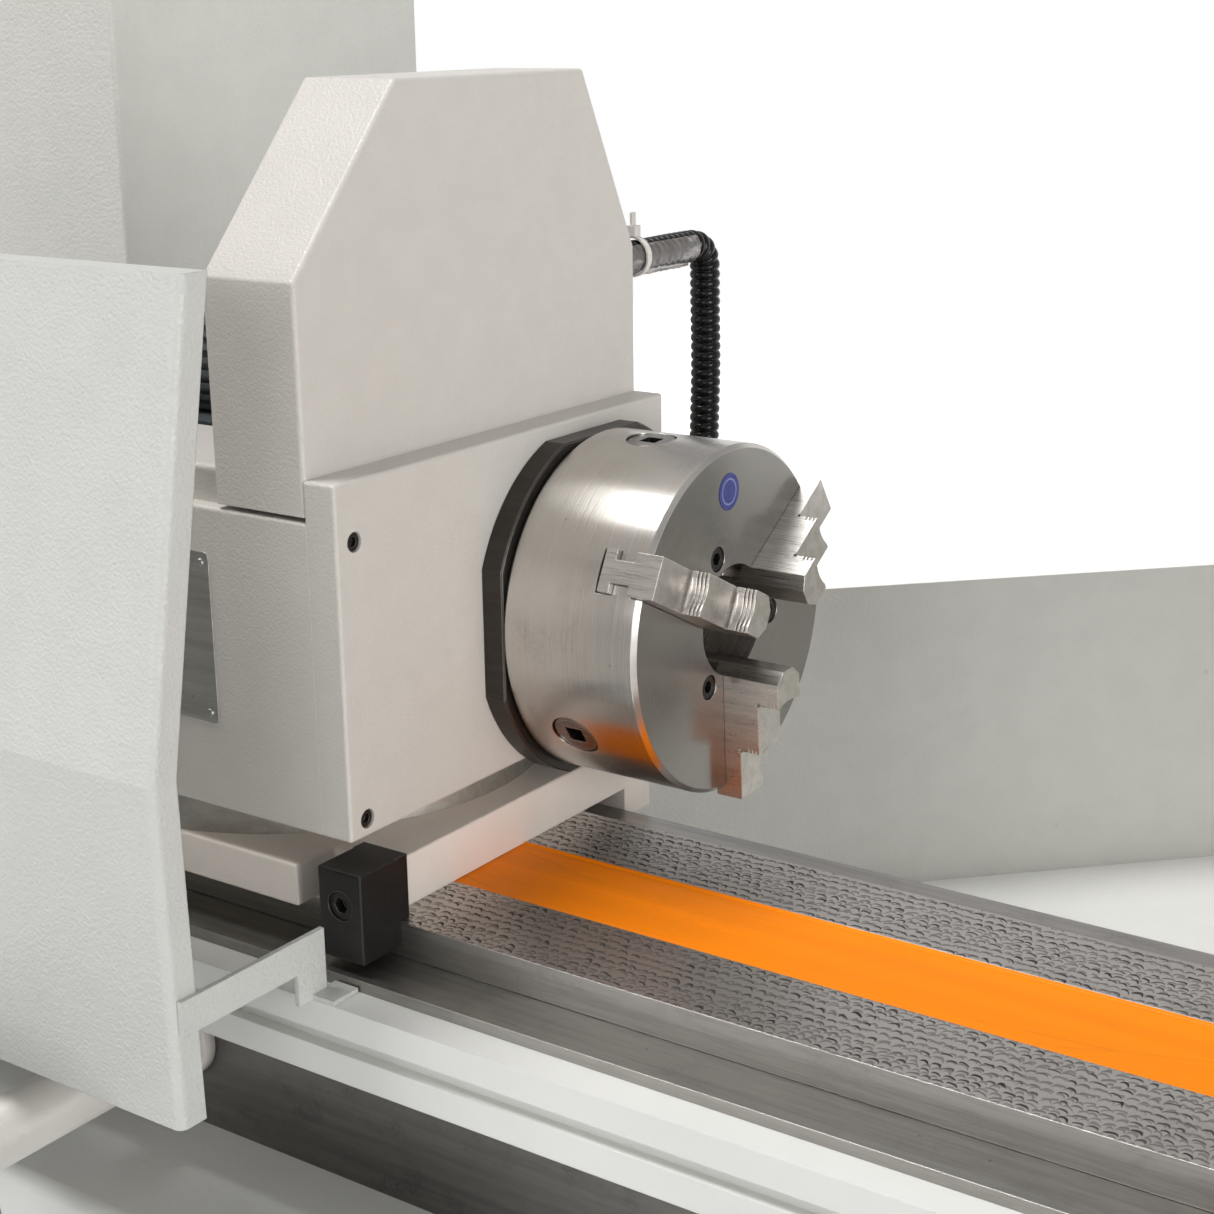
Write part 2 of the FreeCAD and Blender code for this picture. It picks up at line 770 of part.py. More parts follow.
def make_workhead():
    """Casting, front plate, screws, belt cover and name plate."""
    casting = block(head_rear_x, casting_front_x, head_front_y, head_rear_y,
                    -head_half_height, head_half_height)
    casting = rounded(casting, head_edge_radius,
                      lambda edge, p: p.x < casting_front_x - overrun)
    foot = rod_z(-head_half_height, -head_half_height + head_foot_height, head_foot_radius,
                 swivel_x, swivel_y)
    pad = block(head_rear_x + pad_margin, casting_front_x - cover_width - pad_margin,
                pad_front_y, pad_rear_y, head_half_height - overrun, head_half_height + pad_height)
    pad = rounded(pad, pad_edge_radius, lambda edge, p: p.z > head_half_height)
    casting = join(casting, foot, pad)
    casting = casting.cut(rod_x(head_rear_x - overrun, casting_front_x + overrun, bearing_radius))
    casting = casting.cut(block(casting_front_x - pulley_pocket_length, casting_front_x + overrun,
                                pulley_pocket_front_y, pulley_pocket_rear_y,
                                pulley_pocket_floor_z, head_half_height + overrun))
    casting = casting.cut(rod_z(-head_half_height - overrun,
                                -head_half_height + swivel_pin_reach + seat_gap,
                                swivel_pin_radius + running_gap, swivel_x, swivel_y))
    plate_screw_places = [(y, z) for y in (head_front_y + plate_screw_inset_y,
                                           head_rear_y - plate_screw_inset_y)
                          for z in (-plate_screw_z, plate_screw_z)]
    depth = plate_screw_recess + plate_screw_head_length
    reach = depth + plate_screw_shank_length
    for y, z in plate_screw_places:
        casting = casting.cut(rod_x(head_face_x - reach - overrun, casting_front_x + overrun,
                                    plate_screw_shank_radius, y, z))
    save("workhead_casting", casting)

    plate = block(casting_front_x, head_face_x, head_front_y, head_rear_y,
                  -head_half_height, plate_top_z)
    plate = rounded(plate, head_edge_radius, lambda edge, p: p.x > casting_front_x + overrun)
    plate = plate.cut(rod_x(casting_front_x - overrun, head_face_x - plate_lip, bearing_radius))
    plate = plate.cut(rod_x(casting_front_x, head_face_x + overrun, spindle_radius + overrun))
    for y, z in plate_screw_places:
        plate = plate.cut(rod_x(casting_front_x - overrun, head_face_x + overrun,
                                plate_screw_shank_radius, y, z))
        plate = plate.cut(rod_x(head_face_x - depth, head_face_x + overrun,
                                plate_screw_head_radius + seat_gap, y, z))
    save("front_plate", plate)

    screw = cap_screw(plate_screw_head_radius, plate_screw_head_length, plate_screw_socket_width,
                      plate_screw_head_length / 2, plate_screw_shank_radius,
                      plate_screw_shank_length)
    save("front_plate_screws", *[moved(screw, head_face_x - plate_screw_recess, y, z)
                                 for y, z in plate_screw_places])

    seam_z = head_half_height + cover_seam
    left_x = casting_front_x - cover_width
    outline = [(head_front_y, seam_z), (head_front_y, cover_shoulder_front_z),
               (cover_top_front_y, cover_top_z), (cover_top_rear_y, cover_top_z),
               (head_rear_y, cover_shoulder_rear_z), (head_rear_y, seam_z)]
    shell = rounded(prism_x(outline, left_x, casting_front_x), cover_edge_radius,
                    lambda edge, p: p.z > seam_z + overrun)
    inner_face = Part.Face(Part.makePolygon([V(left_x + cover_wall, y, z)
                                             for y, z in outline + outline[:1]]))
    inner = inner_face.makeOffset2D(-cover_wall).extrude(V(cover_width - 2 * cover_wall, 0, 0))
    mouth = block(left_x + cover_wall, casting_front_x - cover_wall, head_front_y + cover_wall,
                  head_rear_y - cover_wall, seam_z - overrun, seam_z + 2 * cover_wall)
    shell = shell.cut(inner.fuse(mouth))
    shell = shell.cut(rod_x(left_x - overrun, left_x + cover_wall + overrun,
                            motor_shaft_radius + overrun, motor_y, motor_z))
    shell = shell.cut(rod_y(head_rear_y - cover_wall - overrun, head_rear_y + overrun,
                            hose_bore_radius, hose_x, hose_z))
    save("belt_cover", shell)

    left = name_plate_right_x - name_plate_length
    low = name_plate_middle_z - name_plate_height / 2
    face = head_front_y - name_plate_thickness
    label = block(left, name_plate_right_x, face, head_front_y, low, low + name_plate_height)
    label = rounded(label, name_plate_corner,
                    lambda edge, p: straight(edge) and abs(p.y - face - name_plate_thickness / 2)
                    < name_plate_thickness / 4)
    rivets = [rod_y(face - rivet_height, face, rivet_radius, x, z)
              for x in (left + rivet_inset, name_plate_right_x - rivet_inset)
              for z in (low + rivet_inset, low + name_plate_height - rivet_inset)]
    save("name_plate", join(label, *rivets))


def belt_loop(large, small, rise_y, rise_z, width, thickness):
    """A flat belt round a large pulley at the axis and a small one at an offset."""
    distance = math.hypot(rise_y, rise_z)
    aim = math.atan2(rise_z, rise_y)
    spread = math.acos((large - small) / distance)

    def loop(grow):
        """The closed outline around both pulleys at a height above their rims."""
        def spot(radius, angle, y, z):
            """A point on one pulley's circle."""
            return V(0, y + (radius + grow) * math.cos(angle), z + (radius + grow) * math.sin(angle))
        a, b = aim + spread, aim - spread
        l_top, l_low = spot(large, a, 0, 0), spot(large, b, 0, 0)
        l_far = spot(large, aim + math.pi, 0, 0)
        s_top, s_low = spot(small, a, rise_y, rise_z), spot(small, b, rise_y, rise_z)
        s_far = spot(small, aim, rise_y, rise_z)
        edges = [Part.Arc(l_top, l_far, l_low).toShape(), Part.LineSegment(l_low, s_low).toShape(),
                 Part.Arc(s_low, s_far, s_top).toShape(), Part.LineSegment(s_top, l_top).toShape()]
        return Part.Face(Part.Wire(edges)).extrude(V(width, 0, 0))

    return loop(seat_gap + thickness).cut(loop(seat_gap))


def make_drive():
    """Workhead motor, its shaft with pulley, and the belt."""
    flange_right = casting_front_x - cover_width - seat_gap
    body_right = flange_right - motor_flange_length
    body_left = body_right - motor_length
    points = []
    for k in range(motor_fin_count):
        for share, radius in ((0, motor_radius), (0, motor_radius + motor_fin_height),
                              (motor_fin_share, motor_radius + motor_fin_height),
                              (motor_fin_share, motor_radius)):
            angle = 2 * math.pi * (k + share) / motor_fin_count
            points.append((motor_y + radius * math.cos(angle), motor_z + radius * math.sin(angle)))
    body = prism_x(points, body_left, body_right)
    flange = rod_x(body_right - overrun, flange_right, motor_flange_radius, motor_y, motor_z)
    flange = flange.cut(block(body_right - 2 * overrun, flange_right + overrun,
                              motor_y - motor_flange_radius, motor_y + motor_flange_radius,
                              head_half_height - motor_flange_radius, head_half_height))
    middle = (body_left + body_right) / 2
    foot = block(middle - motor_foot_length / 2, middle + motor_foot_length / 2,
                 motor_y - motor_foot_width / 2, motor_y + motor_foot_width / 2,
                 head_half_height, head_half_height + motor_foot_height)
    web = block(middle - motor_foot_length / 2, middle + motor_foot_length / 2,
                motor_y - motor_web_width / 2, motor_y + motor_web_width / 2,
                head_half_height, motor_z)
    terminal = block(middle - terminal_box_length / 2, middle + terminal_box_length / 2,
                     motor_y, motor_y + motor_radius + motor_fin_height + terminal_box_height,
                     motor_z - terminal_box_width / 2, motor_z + terminal_box_width / 2)
    end_x = body_left - fan_cover_length
    fan = rounded(rod_x(end_x, body_left, fan_cover_radius, motor_y, motor_z), fan_cover_edge,
                  lambda edge, p: p.x < end_x + overrun and not straight(edge))
    for k in range(fan_slot_count):
        slot = block(end_x - overrun, end_x + fan_slot_depth,
                     motor_y + fan_slot_radius - fan_slot_length,
                     motor_y + fan_slot_radius, motor_z - fan_slot_width / 2,
                     motor_z + fan_slot_width / 2)
        slot.rotate(V(0, motor_y, motor_z), V(1, 0, 0), 360 / fan_slot_count * k)
        fan = fan.cut(slot)
    motor = join(body, flange, foot, web, terminal, fan)
    motor = motor.cut(rod_x(body_right - motor_flange_length, flange_right + overrun,
                            motor_shaft_radius + running_gap, motor_y, motor_z))
    save("workhead_motor", motor)

    shaft = rod_x(body_right - motor_flange_length + seat_gap,
                  belt_middle_x + pulley_length / 2 + overrun, motor_shaft_radius,
                  motor_y, motor_z)
    save("motor_pulley", join(shaft, v_pulley(motor_pulley_radius, motor_shaft_radius,
                                              motor_y, motor_z)))
    save("workhead_belt", moved(belt_loop(spindle_pulley_radius, motor_pulley_radius, motor_y,
                                          motor_z, belt_width, belt_thickness),
                                belt_middle_x - belt_width / 2, 0, 0))


def make_swivel_base():
    """Base plate, swivel ring, pivot pin and the front table clamp."""
    left = head_rear_x
    hook_z = table_top_z - base_hook_drop
    base = block(left, head_face_x, base_front_y, base_rear_y, table_top_z, base_top_z)
    base = base.cut(block(clamp_notch_left_x, head_face_x + overrun, base_front_y - overrun,
                          clamp_notch_rear_y, table_top_z - overrun, base_top_z + overrun))
    base = base.cut(block(left - overrun, head_face_x + overrun, base_front_y - overrun,
                          clamp_rear_y, table_top_z - overrun, base_top_z - base_lip_drop))
    base = rounded(base, base_edge_radius,
                   lambda edge, p: p.z > table_top_z + base_edge_radius)
    hook = block(left, head_face_x, base_rear_y - base_hook_width, base_rear_y, hook_z,
                 table_top_z + base_edge_radius)
    base = join(base, hook)
    base = base.cut(rod_y(clamp_notch_rear_y - overrun,
                          clamp_front_y + clamp_screw_recess + clamp_screw_head_length
                          + clamp_screw_shank_length + overrun,
                          clamp_screw_shank_radius + running_gap, clamp_screw_x, clamp_screw_z))
    base = base.cut(rod_z(base_top_z - swivel_pin_reach / 2, base_top_z + overrun,
                          swivel_pin_radius, swivel_x, swivel_y))
    save("workhead_base", base)

    ring = rod_z(base_top_z, swivel_top_z, swivel_ring_radius, swivel_x, swivel_y)
    pin = rod_z(base_top_z - swivel_pin_reach / 2, swivel_top_z + swivel_pin_reach,
                swivel_pin_radius, swivel_x, swivel_y)
    save("swivel_ring", join(ring, pin))

    right = head_face_x + clamp_overhang
    clamp = block(right - clamp_width, right, clamp_front_y, clamp_rear_y,
                  table_top_z - clamp_drop, base_top_z + clamp_rise)
    clamp = rounded(clamp, clamp_edge_radius, lambda edge, p: p.y < clamp_rear_y - seat_gap)
    clamp = join(clamp, block(right - clamp_width, right, clamp_rear_y - overrun,
                              clamp_notch_rear_y - seat_gap, table_top_z + seat_gap,
                              base_top_z + clamp_rise))
    head_y = clamp_front_y + clamp_screw_recess
    clamp = clamp.cut(rod_y(clamp_front_y - overrun, head_y + clamp_screw_head_length,
                            clamp_screw_head_radius + seat_gap, clamp_screw_x, clamp_screw_z))
    clamp = clamp.cut(rod_y(clamp_front_y, clamp_notch_rear_y + overrun,
                            clamp_screw_shank_radius + running_gap, clamp_screw_x, clamp_screw_z))
    save("clamp_block", clamp)

    head = rod_y(head_y, head_y + clamp_screw_head_length, clamp_screw_head_radius,
                 clamp_screw_x, clamp_screw_z)
    shank = rod_y(head_y, head_y + clamp_screw_head_length + clamp_screw_shank_length,
                  clamp_screw_shank_radius, clamp_screw_x, clamp_screw_z)
    socket = hexagon_y(clamp_screw_socket_width, head_y - overrun,
                       head_y + clamp_screw_socket_depth, clamp_screw_x, clamp_screw_z)
    save("clamp_screw", join(head, shank).cut(socket))


def make_table():
    """Inclinable table, sliding lower table with its pivot, front rail and rack."""
    bottom = table_top_z - table_edge_height
    step_z = table_top_z - table_step_depth
    outline = [(table_front_y, bottom), (table_front_y, table_top_z),
               (stripe_front_y, table_top_z), (stripe_front_y, table_top_z - stripe_depth),
               (stripe_rear_y, table_top_z - stripe_depth), (stripe_rear_y, table_top_z),
               (table_rear_y, table_top_z), (table_rear_y, step_z),
               (table_rear_y + table_step_width, step_z), (table_rear_y + table_step_width, bottom)]
    table = prism_x(outline, table_left_x, table_right_x)
    table = table.cut(rod_z(bottom - overrun, bottom + table_pin_seat + seat_gap,
                            table_pin_radius + running_gap, table_pin_x, table_pin_y))
    save("swivel_table", table)

    slide = block(slide_left_x, slide_right_x, slide_front_y, slide_rear_y, slide_bottom_z,
                  slide_top_z)
    slide = join(slide, rod_z(slide_bottom_z, bottom + table_pin_seat, table_pin_radius,
                              table_pin_x, table_pin_y))
    groove = [(front_way_y - vee_half_width - seat_gap - overrun, slide_bottom_z - overrun),
              (front_way_y, way_top_z + vee_height + 2 * seat_gap),
              (front_way_y + vee_half_width + seat_gap + overrun, slide_bottom_z - overrun)]
    slide = slide.cut(prism_x(groove, slide_left_x - overrun, slide_right_x + overrun))
    save("lower_table", slide)

    rail_top = slide_top_z - rail_drop
    rail = block(slide_left_x, slide_right_x, slide_front_y - rail_width, slide_front_y,
                 slide_bottom_z, rail_top)
    middle = (slide_bottom_z + rail_top) / 2
    rail = rail.cut(block(slide_left_x - overrun, slide_right_x + overrun,
                          slide_front_y - rail_width - overrun,
                          slide_front_y - rail_width + rail_slot_depth,
                          middle - rail_slot_height / 2, middle + rail_slot_height / 2))
    save("front_rail", rail)

    half = rack_teeth / 2 * rack_pitch
    points = [(wheel_x - half, slide_bottom_z)]
    for k in range(rack_teeth):
        centre = wheel_x + (k - (rack_teeth - 1) / 2) * rack_pitch
        for share, z in ((-tooth_root_share, rack_tip_z + rack_depth),
                         (-tooth_tip_share, rack_tip_z), (tooth_tip_share, rack_tip_z),
                         (tooth_root_share, rack_tip_z + rack_depth)):
            points.append((centre + share * rack_pitch, z))
    points.append((wheel_x + half, slide_bottom_z))
    save("table_rack", prism_y(points, rack_front_y, rack_front_y + rack_width))


def hand_wheel(x, z):
    """A handwheel with a turned grip, bored for its shaft."""
    front = wheel_front_y - wheel_hub_length / 2
    hub = rod_y(front, front + wheel_hub_length, wheel_hub_radius, x, z)
    web = rod_y(wheel_front_y - wheel_web / 2, wheel_front_y + wheel_web / 2, wheel_radius, x, z)
    rim = Part.makeTorus(wheel_radius, wheel_rim_radius, V(x, wheel_front_y, z), V(0, 1, 0))
    back = wheel_front_y - wheel_web / 2
    grip = rod_y(front_reach_y, back, grip_radius, x, z + grip_offset)
    grip = rounded(grip, grip_radius / 2,
                   lambda edge, p: p.y < front_reach_y + overrun and not straight(edge))
    wheel = join(hub, web, rim, grip)
    return wheel.cut(rod_y(front - overrun, front + wheel_hub_length + overrun, shaft_radius, x, z))


def make_handwheel():
    """Pinion shaft and handwheel that drive the table."""
    points = []
    root = pinion_pitch_radius - rack_depth + rack_module
    tip = pinion_pitch_radius + rack_module
    for k in range(pinion_teeth):
        for share, radius in ((-tooth_root_share, root), (-tooth_tip_share, tip),
                              (tooth_tip_share, tip), (tooth_root_share, root)):
            angle = math.pi / 2 + 2 * math.pi * (k + 0.5 + share) / pinion_teeth
            points.append((wheel_x + radius * math.cos(angle), wheel_z + radius * math.sin(angle)))
    gear_y = rack_front_y + (rack_width - pinion_wheel_width) / 2
    gear = prism_y(points, gear_y, gear_y + pinion_wheel_width)
    shaft = rod_y(wheel_front_y - wheel_hub_length / 2, gear_y + pinion_wheel_width,
                  shaft_radius, wheel_x, wheel_z)
    save("pinion_shaft", join(gear, shaft))
    save("table_handwheel", hand_wheel(wheel_x, wheel_z))


def bed_plan(inset):
    """The bed's T-shaped outline seen from above, drawn in by an inset."""
    flare = wall_bend_x - wall_margin * (math.sqrt(2) - 1) + inset * (math.sqrt(2) - 1)
    reach = bed_rear_y - bed_wing_rear_y
    side = wall_right_x + wall_margin - inset
    return [(bed_left_x + inset, bed_front_y + inset), (bed_right_x - inset, bed_front_y + inset),
            (bed_right_x - inset, bed_wing_rear_y - inset), (side, bed_wing_rear_y - inset),
            (side, bed_rear_y - inset), (flare + reach, bed_rear_y - inset),
            (flare, bed_wing_rear_y - inset), (bed_left_x + inset, bed_wing_rear_y - inset)]


def make_bed():
    """Bed casting, table ways and rear splash wall."""
    bed = prism_z(bed_plan(0), bed_bottom_z + bed_plinth_height, bed_top_z)
    bed = rounded(bed, bed_edge_radius, lambda edge, p: p.z > bed_top_z - overrun
                  and p.y < bed_wing_rear_y - overrun)
    bed = join(bed, prism_z(bed_plan(bed_plinth_inset), bed_bottom_z,
                            bed_bottom_z + bed_plinth_height))
    bed = bed.cut(prism_z(bed_plan(bed_plinth_inset + bed_wall), bed_bottom_z - overrun,
                          bed_top_z - bed_top_thickness))
    save("bed", bed)

    left, right = bed_left_x + way_inset, bed_right_x - way_inset
    half = front_way_width / 2
    front = [(front_way_y - half, bed_top_z), (front_way_y - half, way_top_z),
             (front_way_y - vee_half_width, way_top_z), (front_way_y, way_top_z + vee_height),
             (front_way_y + vee_half_width, way_top_z), (front_way_y + half, way_top_z),
             (front_way_y + half, bed_top_z)]
    front_way = prism_x(front, left, right)
    for x, z in ((wheel_x, wheel_z), (feed_x, feed_z)):
        front_way = front_way.cut(rod_y(front_way_y - half - overrun, front_way_y + half + overrun,
                                        shaft_radius + running_gap, x, z))
    half = rear_way_width / 2
    rear_way = block(left, right, rear_way_y - half, rear_way_y + half, bed_top_z, way_top_z)
    rear_way = rear_way.cut(rod_y(rear_way_y - half - overrun, rear_way_y + half + overrun,
                                  shaft_radius + running_gap, feed_x, feed_z))
    save("bed_ways", front_way, rear_way)

    wing_top = bed_top_z + wall_wing_height
    high_top = bed_top_z + wall_height
    sheet = wall_sheet
    run = wall_rear_y - wall_wing_y
    slant = sheet * math.sqrt(2)
    lean = sheet * (math.sqrt(2) - 1)
    left_wing = block(bed_left_x + way_inset, wall_bend_x, wall_wing_y, wall_wing_y + sheet,
                      bed_top_z, wing_top)
    flare = prism_z([(wall_bend_x, wall_wing_y), (wall_bend_x + run, wall_rear_y),
                     (wall_bend_x + run - slant, wall_rear_y),
                     (wall_bend_x - slant, wall_wing_y)], bed_top_z, high_top)
    slope = [(wall_bend_x - bed_wall, wing_top), (wall_bend_x + sheet, wing_top),
             (wall_bend_x + wall_rise, high_top), (wall_bend_x + wall_rise, high_top + overrun),
             (wall_bend_x - bed_wall, high_top + overrun)]
    flare = flare.cut(prism_y(slope, wall_wing_y - overrun, wall_rear_y + overrun))
    rear = block(wall_bend_x + run - slant, wall_right_x, wall_rear_y, wall_rear_y + sheet,
                 bed_top_z, high_top)
    side = block(wall_right_x - sheet, wall_right_x, wall_wing_y, wall_rear_y + sheet,
                 bed_top_z, high_top)
    right_wing = block(wall_right_x - sheet, bed_right_x - way_inset, wall_wing_y,
                       wall_wing_y + sheet, bed_top_z, wing_top)
    save("splash_wall", join(left_wing, flare, rear, side, right_wing))


def make_guard():
    """Folded front screen and its two arms."""
    sheet = guard_sheet
    outer = [(guard_bottom_y, guard_bottom_z), (guard_crease_y, guard_crease_z),
             (guard_top_y, guard_top_z)]
    back = [(y + guard_flange, z) for y, z in outer]
    skin = prism_x(outer + [(y + sheet, z) for y, z in reversed(outer)],
                   guard_left_x, guard_right_x)
    top = block(guard_left_x, guard_right_x, guard_top_y, guard_top_y + guard_flange,
                guard_top_z - sheet, guard_top_z)
    sides = [prism_x(outer + list(reversed(back)), x, x + sheet)
             for x in (guard_left_x, guard_right_x - sheet)]
    middles = [(a[0] + b[0]) / 2 for a, b in zip(outer, outer[1:])]
    guard = rounded(join(skin, top, *sides), guard_edge_radius, lambda edge, p: straight(edge)
                    and abs(p.x - guard_right_x) < running_gap
                    and min(abs(p.y - y) for y in middles) < running_gap)
    save("splash_guard", guard)

    rail_top = slide_top_z - rail_drop
    start_y = guard_crease_y + 2 * sheet
    arms = []
    for x, inward in ((guard_right_x, 1), (guard_left_x - arm_thickness, -1)):
        shape = [(start_y, arm_top_z), (arm_end_y, arm_top_z), (arm_end_y, rail_top),
                 (arm_end_y - arm_tab_width, rail_top),
                 (arm_end_y - arm_tab_width, arm_top_z - arm_height),
                 (start_y, arm_top_z - arm_height)]
        arm = prism_x(shape, x, x + arm_thickness)
        edge = x + arm_thickness / 2
        low, high = sorted((edge, edge + inward * arm_foot))
        foot = block(low, high, slide_front_y - rail_width, slide_front_y - overrun,
                     rail_top, rail_top + arm_thickness)
        arms.append(join(arm, foot))
    save("guard_arms", *arms)


def make_cabinet():
    """Electric cabinet with its hinged side door."""
    front_y = bed_wing_rear_y
    bottom, top = bed_bottom_z, box_top_z
    shell = block(box_left_x + door_thickness, box_right_x, front_y, box_rear_y, bottom, top)
    shell = rounded(shell, box_edge_radius,
                    lambda edge, p: p.x > box_left_x + door_thickness + overrun
                    and p.z > bottom + overrun)
    shell = shell.cut(block(box_left_x, box_right_x - box_sheet, front_y + box_sheet,
                            box_rear_y - box_sheet, bottom + box_sheet, top - box_sheet))
    door_right = box_left_x + door_thickness - seat_gap
    door = block(box_left_x, door_right, front_y + door_margin, box_rear_y - door_margin,
                 bottom + door_margin, top - door_margin)
    door = rounded(door, box_edge_radius, lambda edge, p: p.x < box_left_x + overrun)
    door = door.cut(block(box_left_x + door_wall, door_right + overrun,
                          front_y + door_margin + door_wall, box_rear_y - door_margin - door_wall,
                          bottom + door_margin + door_wall, top - door_margin - door_wall))
    handle_y = front_y + handle_inset
    handle_z = (bottom + top) / 2
    handle = block(box_left_x - handle_depth, box_left_x + door_wall / 2,
                   handle_y - handle_width / 2, handle_y + handle_width / 2,
                   handle_z - handle_length / 2, handle_z + handle_length / 2)
    handle = handle.cut(block(box_left_x - handle_depth + handle_width / 2, box_left_x,
                              handle_y - handle_width, handle_y + handle_width,
                              handle_z - handle_length / 2 + handle_width / 2,
                              handle_z + handle_length / 2 - handle_width / 2))
    hinge_y = box_rear_y + hinge_radius
    knuckles = []
    for z in (bottom + hinge_inset, top - hinge_inset - hinge_length):
        middle = z + hinge_length / 2
        lower = join(rod_z(z, middle - seat_gap, hinge_radius, door_right, hinge_y),
                     block(door_right, door_right + 2 * hinge_radius, box_rear_y - box_sheet,
                           hinge_y - hinge_radius / 2, z, middle - seat_gap))
        upper = join(rod_z(middle, z + hinge_length, hinge_radius, door_right, hinge_y),
                     block(door_right - hinge_radius, door_right,
                           box_rear_y - door_margin - door_wall / 2, hinge_y,
                           middle, z + hinge_length))
        knuckles.append(upper)
        shell = join(shell, lower)
    save("electric_cabinet", shell)
    save("cabinet_door", join(door, handle, *knuckles))


def make_wheelhead():
    """Base, sliding wheelhead, wheel with flanges, spindle and guard."""
    base = block(head_base_left_x, head_base_right_x, head_base_front_y, head_base_rear_y,
                 bed_top_z, head_base_top_z)
    half = feed_nut_width / 2 + feed_pocket_margin
    nut_rear = feed_nut_y + feed_nut_length
    base = base.cut(block(feed_x - half, feed_x + half,
                          feed_nut_y - feed_travel - feed_pocket_margin,
                          nut_rear + feed_pocket_margin, feed_z - half,
                          head_base_top_z + overrun))
    base = base.cut(rod_y(head_base_front_y - overrun, feed_end_y + feed_pocket_margin,
                          shaft_radius + running_gap, feed_x, feed_z))
    save("wheelhead_base", base)

    bottom = head_base_top_z + seat_gap
    nose_z = bottom + (wheelhead_top_z - bottom) * wheelhead_nose_share
    nose_y = wheelhead_front_y + (wheel_axis_y - wheelhead_front_y) * wheelhead_nose_share
    outline = [(wheelhead_front_y, bottom), (wheelhead_front_y, nose_z + (wheelhead_top_z - nose_z) / 2),
               (nose_y, wheelhead_top_z), (wheelhead_rear_y, wheelhead_top_z),
               (wheelhead_rear_y, bottom)]
    body = prism_x(outline, wheelhead_left_x, wheelhead_right_x)
    body = rounded(body, wheelhead_edge_radius,
                   lambda edge, p: p.z > nose_z and p.y < wheelhead_rear_y + overrun
                   and wheelhead_left_x + overrun < p.x < wheelhead_right_x - overrun)
    skirts = [block(x0, x1, wheelhead_front_y, wheelhead_rear_y, bottom - wheelhead_skirt_drop,
                    bottom + overrun)
              for x0, x1 in ((wheelhead_left_x, head_base_left_x - seat_gap),
                             (head_base_right_x + seat_gap, wheelhead_right_x))]
    nut = block(feed_x - feed_nut_width / 2, feed_x + feed_nut_width / 2, feed_nut_y, nut_rear,
                feed_z - feed_nut_width / 2, bottom + overrun)
    nut = nut.cut(rod_y(feed_nut_y - overrun, nut_rear + overrun, shaft_radius + running_gap,
                        feed_x, feed_z))
    body = join(body, nut, *skirts)
    body = body.cut(rod_x(wheelhead_left_x - overrun, wheelhead_right_x + overrun,
                          wheel_spindle_radius + running_gap, wheel_axis_y))
    save("wheelhead_body", body)

    save("grinding_wheel", ring_x(grinding_left_x, grinding_right_x, grinding_radius,
                                  grinding_bore_radius, wheel_axis_y))
    hub_radius = grinding_bore_radius - running_gap
    middle = (grinding_left_x + grinding_right_x) / 2
    front = join(rod_x(grinding_left_x - flange_thickness, grinding_left_x, flange_radius,
                       wheel_axis_y),
                 rod_x(grinding_left_x - overrun, middle, hub_radius, wheel_axis_y))
    rear = join(rod_x(grinding_right_x, grinding_right_x + flange_thickness, flange_radius,
                      wheel_axis_y),
                rod_x(middle, grinding_right_x + overrun, hub_radius, wheel_axis_y))
    bore = rod_x(grinding_left_x - 2 * flange_thickness, grinding_right_x + 2 * flange_thickness,
                 wheel_spindle_radius, wheel_axis_y)
    save("wheel_flanges", front.cut(bore), rear.cut(bore))

    nose_x = grinding_left_x - flange_thickness
    nut = rod_x(nose_x - wheel_nut_length, nose_x, wheel_nut_radius, wheel_axis_y)
    shaft = rod_x(nose_x - wheel_nut_length, drive_pulley_x + drive_pulley_length,
                  wheel_spindle_radius, wheel_axis_y)
    save("wheel_spindle", join(shaft, nut, drive_pulley(wheel_axis_y, 0)))

    left = grinding_left_x - wheel_guard_side_gap
    right = wheelhead_left_x
    guard = ring_x(left, right, wheel_guard_radius, wheel_guard_radius - wheel_guard_rim,
                   wheel_axis_y)
    plates = [ring_x(x, x + wheel_guard_plate, wheel_guard_radius, wheel_guard_hole_radius,
                     wheel_axis_y) for x in (left, right - wheel_guard_plate)]
    guard = join(guard, *plates)
    far = 2 * wheel_guard_radius
    first = math.radians(wheel_guard_front_angle)
    last = math.radians(wheel_guard_low_angle)
    mouth = [(wheel_axis_y, 0), (wheel_axis_y + far * math.cos(first), far * math.sin(first)),
             (wheel_axis_y - far, -far), (wheel_axis_y + far * math.cos(last), far * math.sin(last))]
    guard = guard.cut(prism_x(mouth, left - overrun, right + overrun))
    save("wheel_guard", guard)


def drive_pulley(y, z):
    """A pulley of the wheel drive with its belt groove."""
    left, right = drive_pulley_x, drive_pulley_x + drive_pulley_length
    rim = rod_x(left, right, drive_pulley_radius + drive_groove_depth, y, z)
    land = (drive_pulley_length - drive_belt_width) / 2 - seat_gap
    return rim.cut(ring_x(left + land, right - land, drive_pulley_radius + 2 * drive_groove_depth,
                          drive_pulley_radius, y, z))


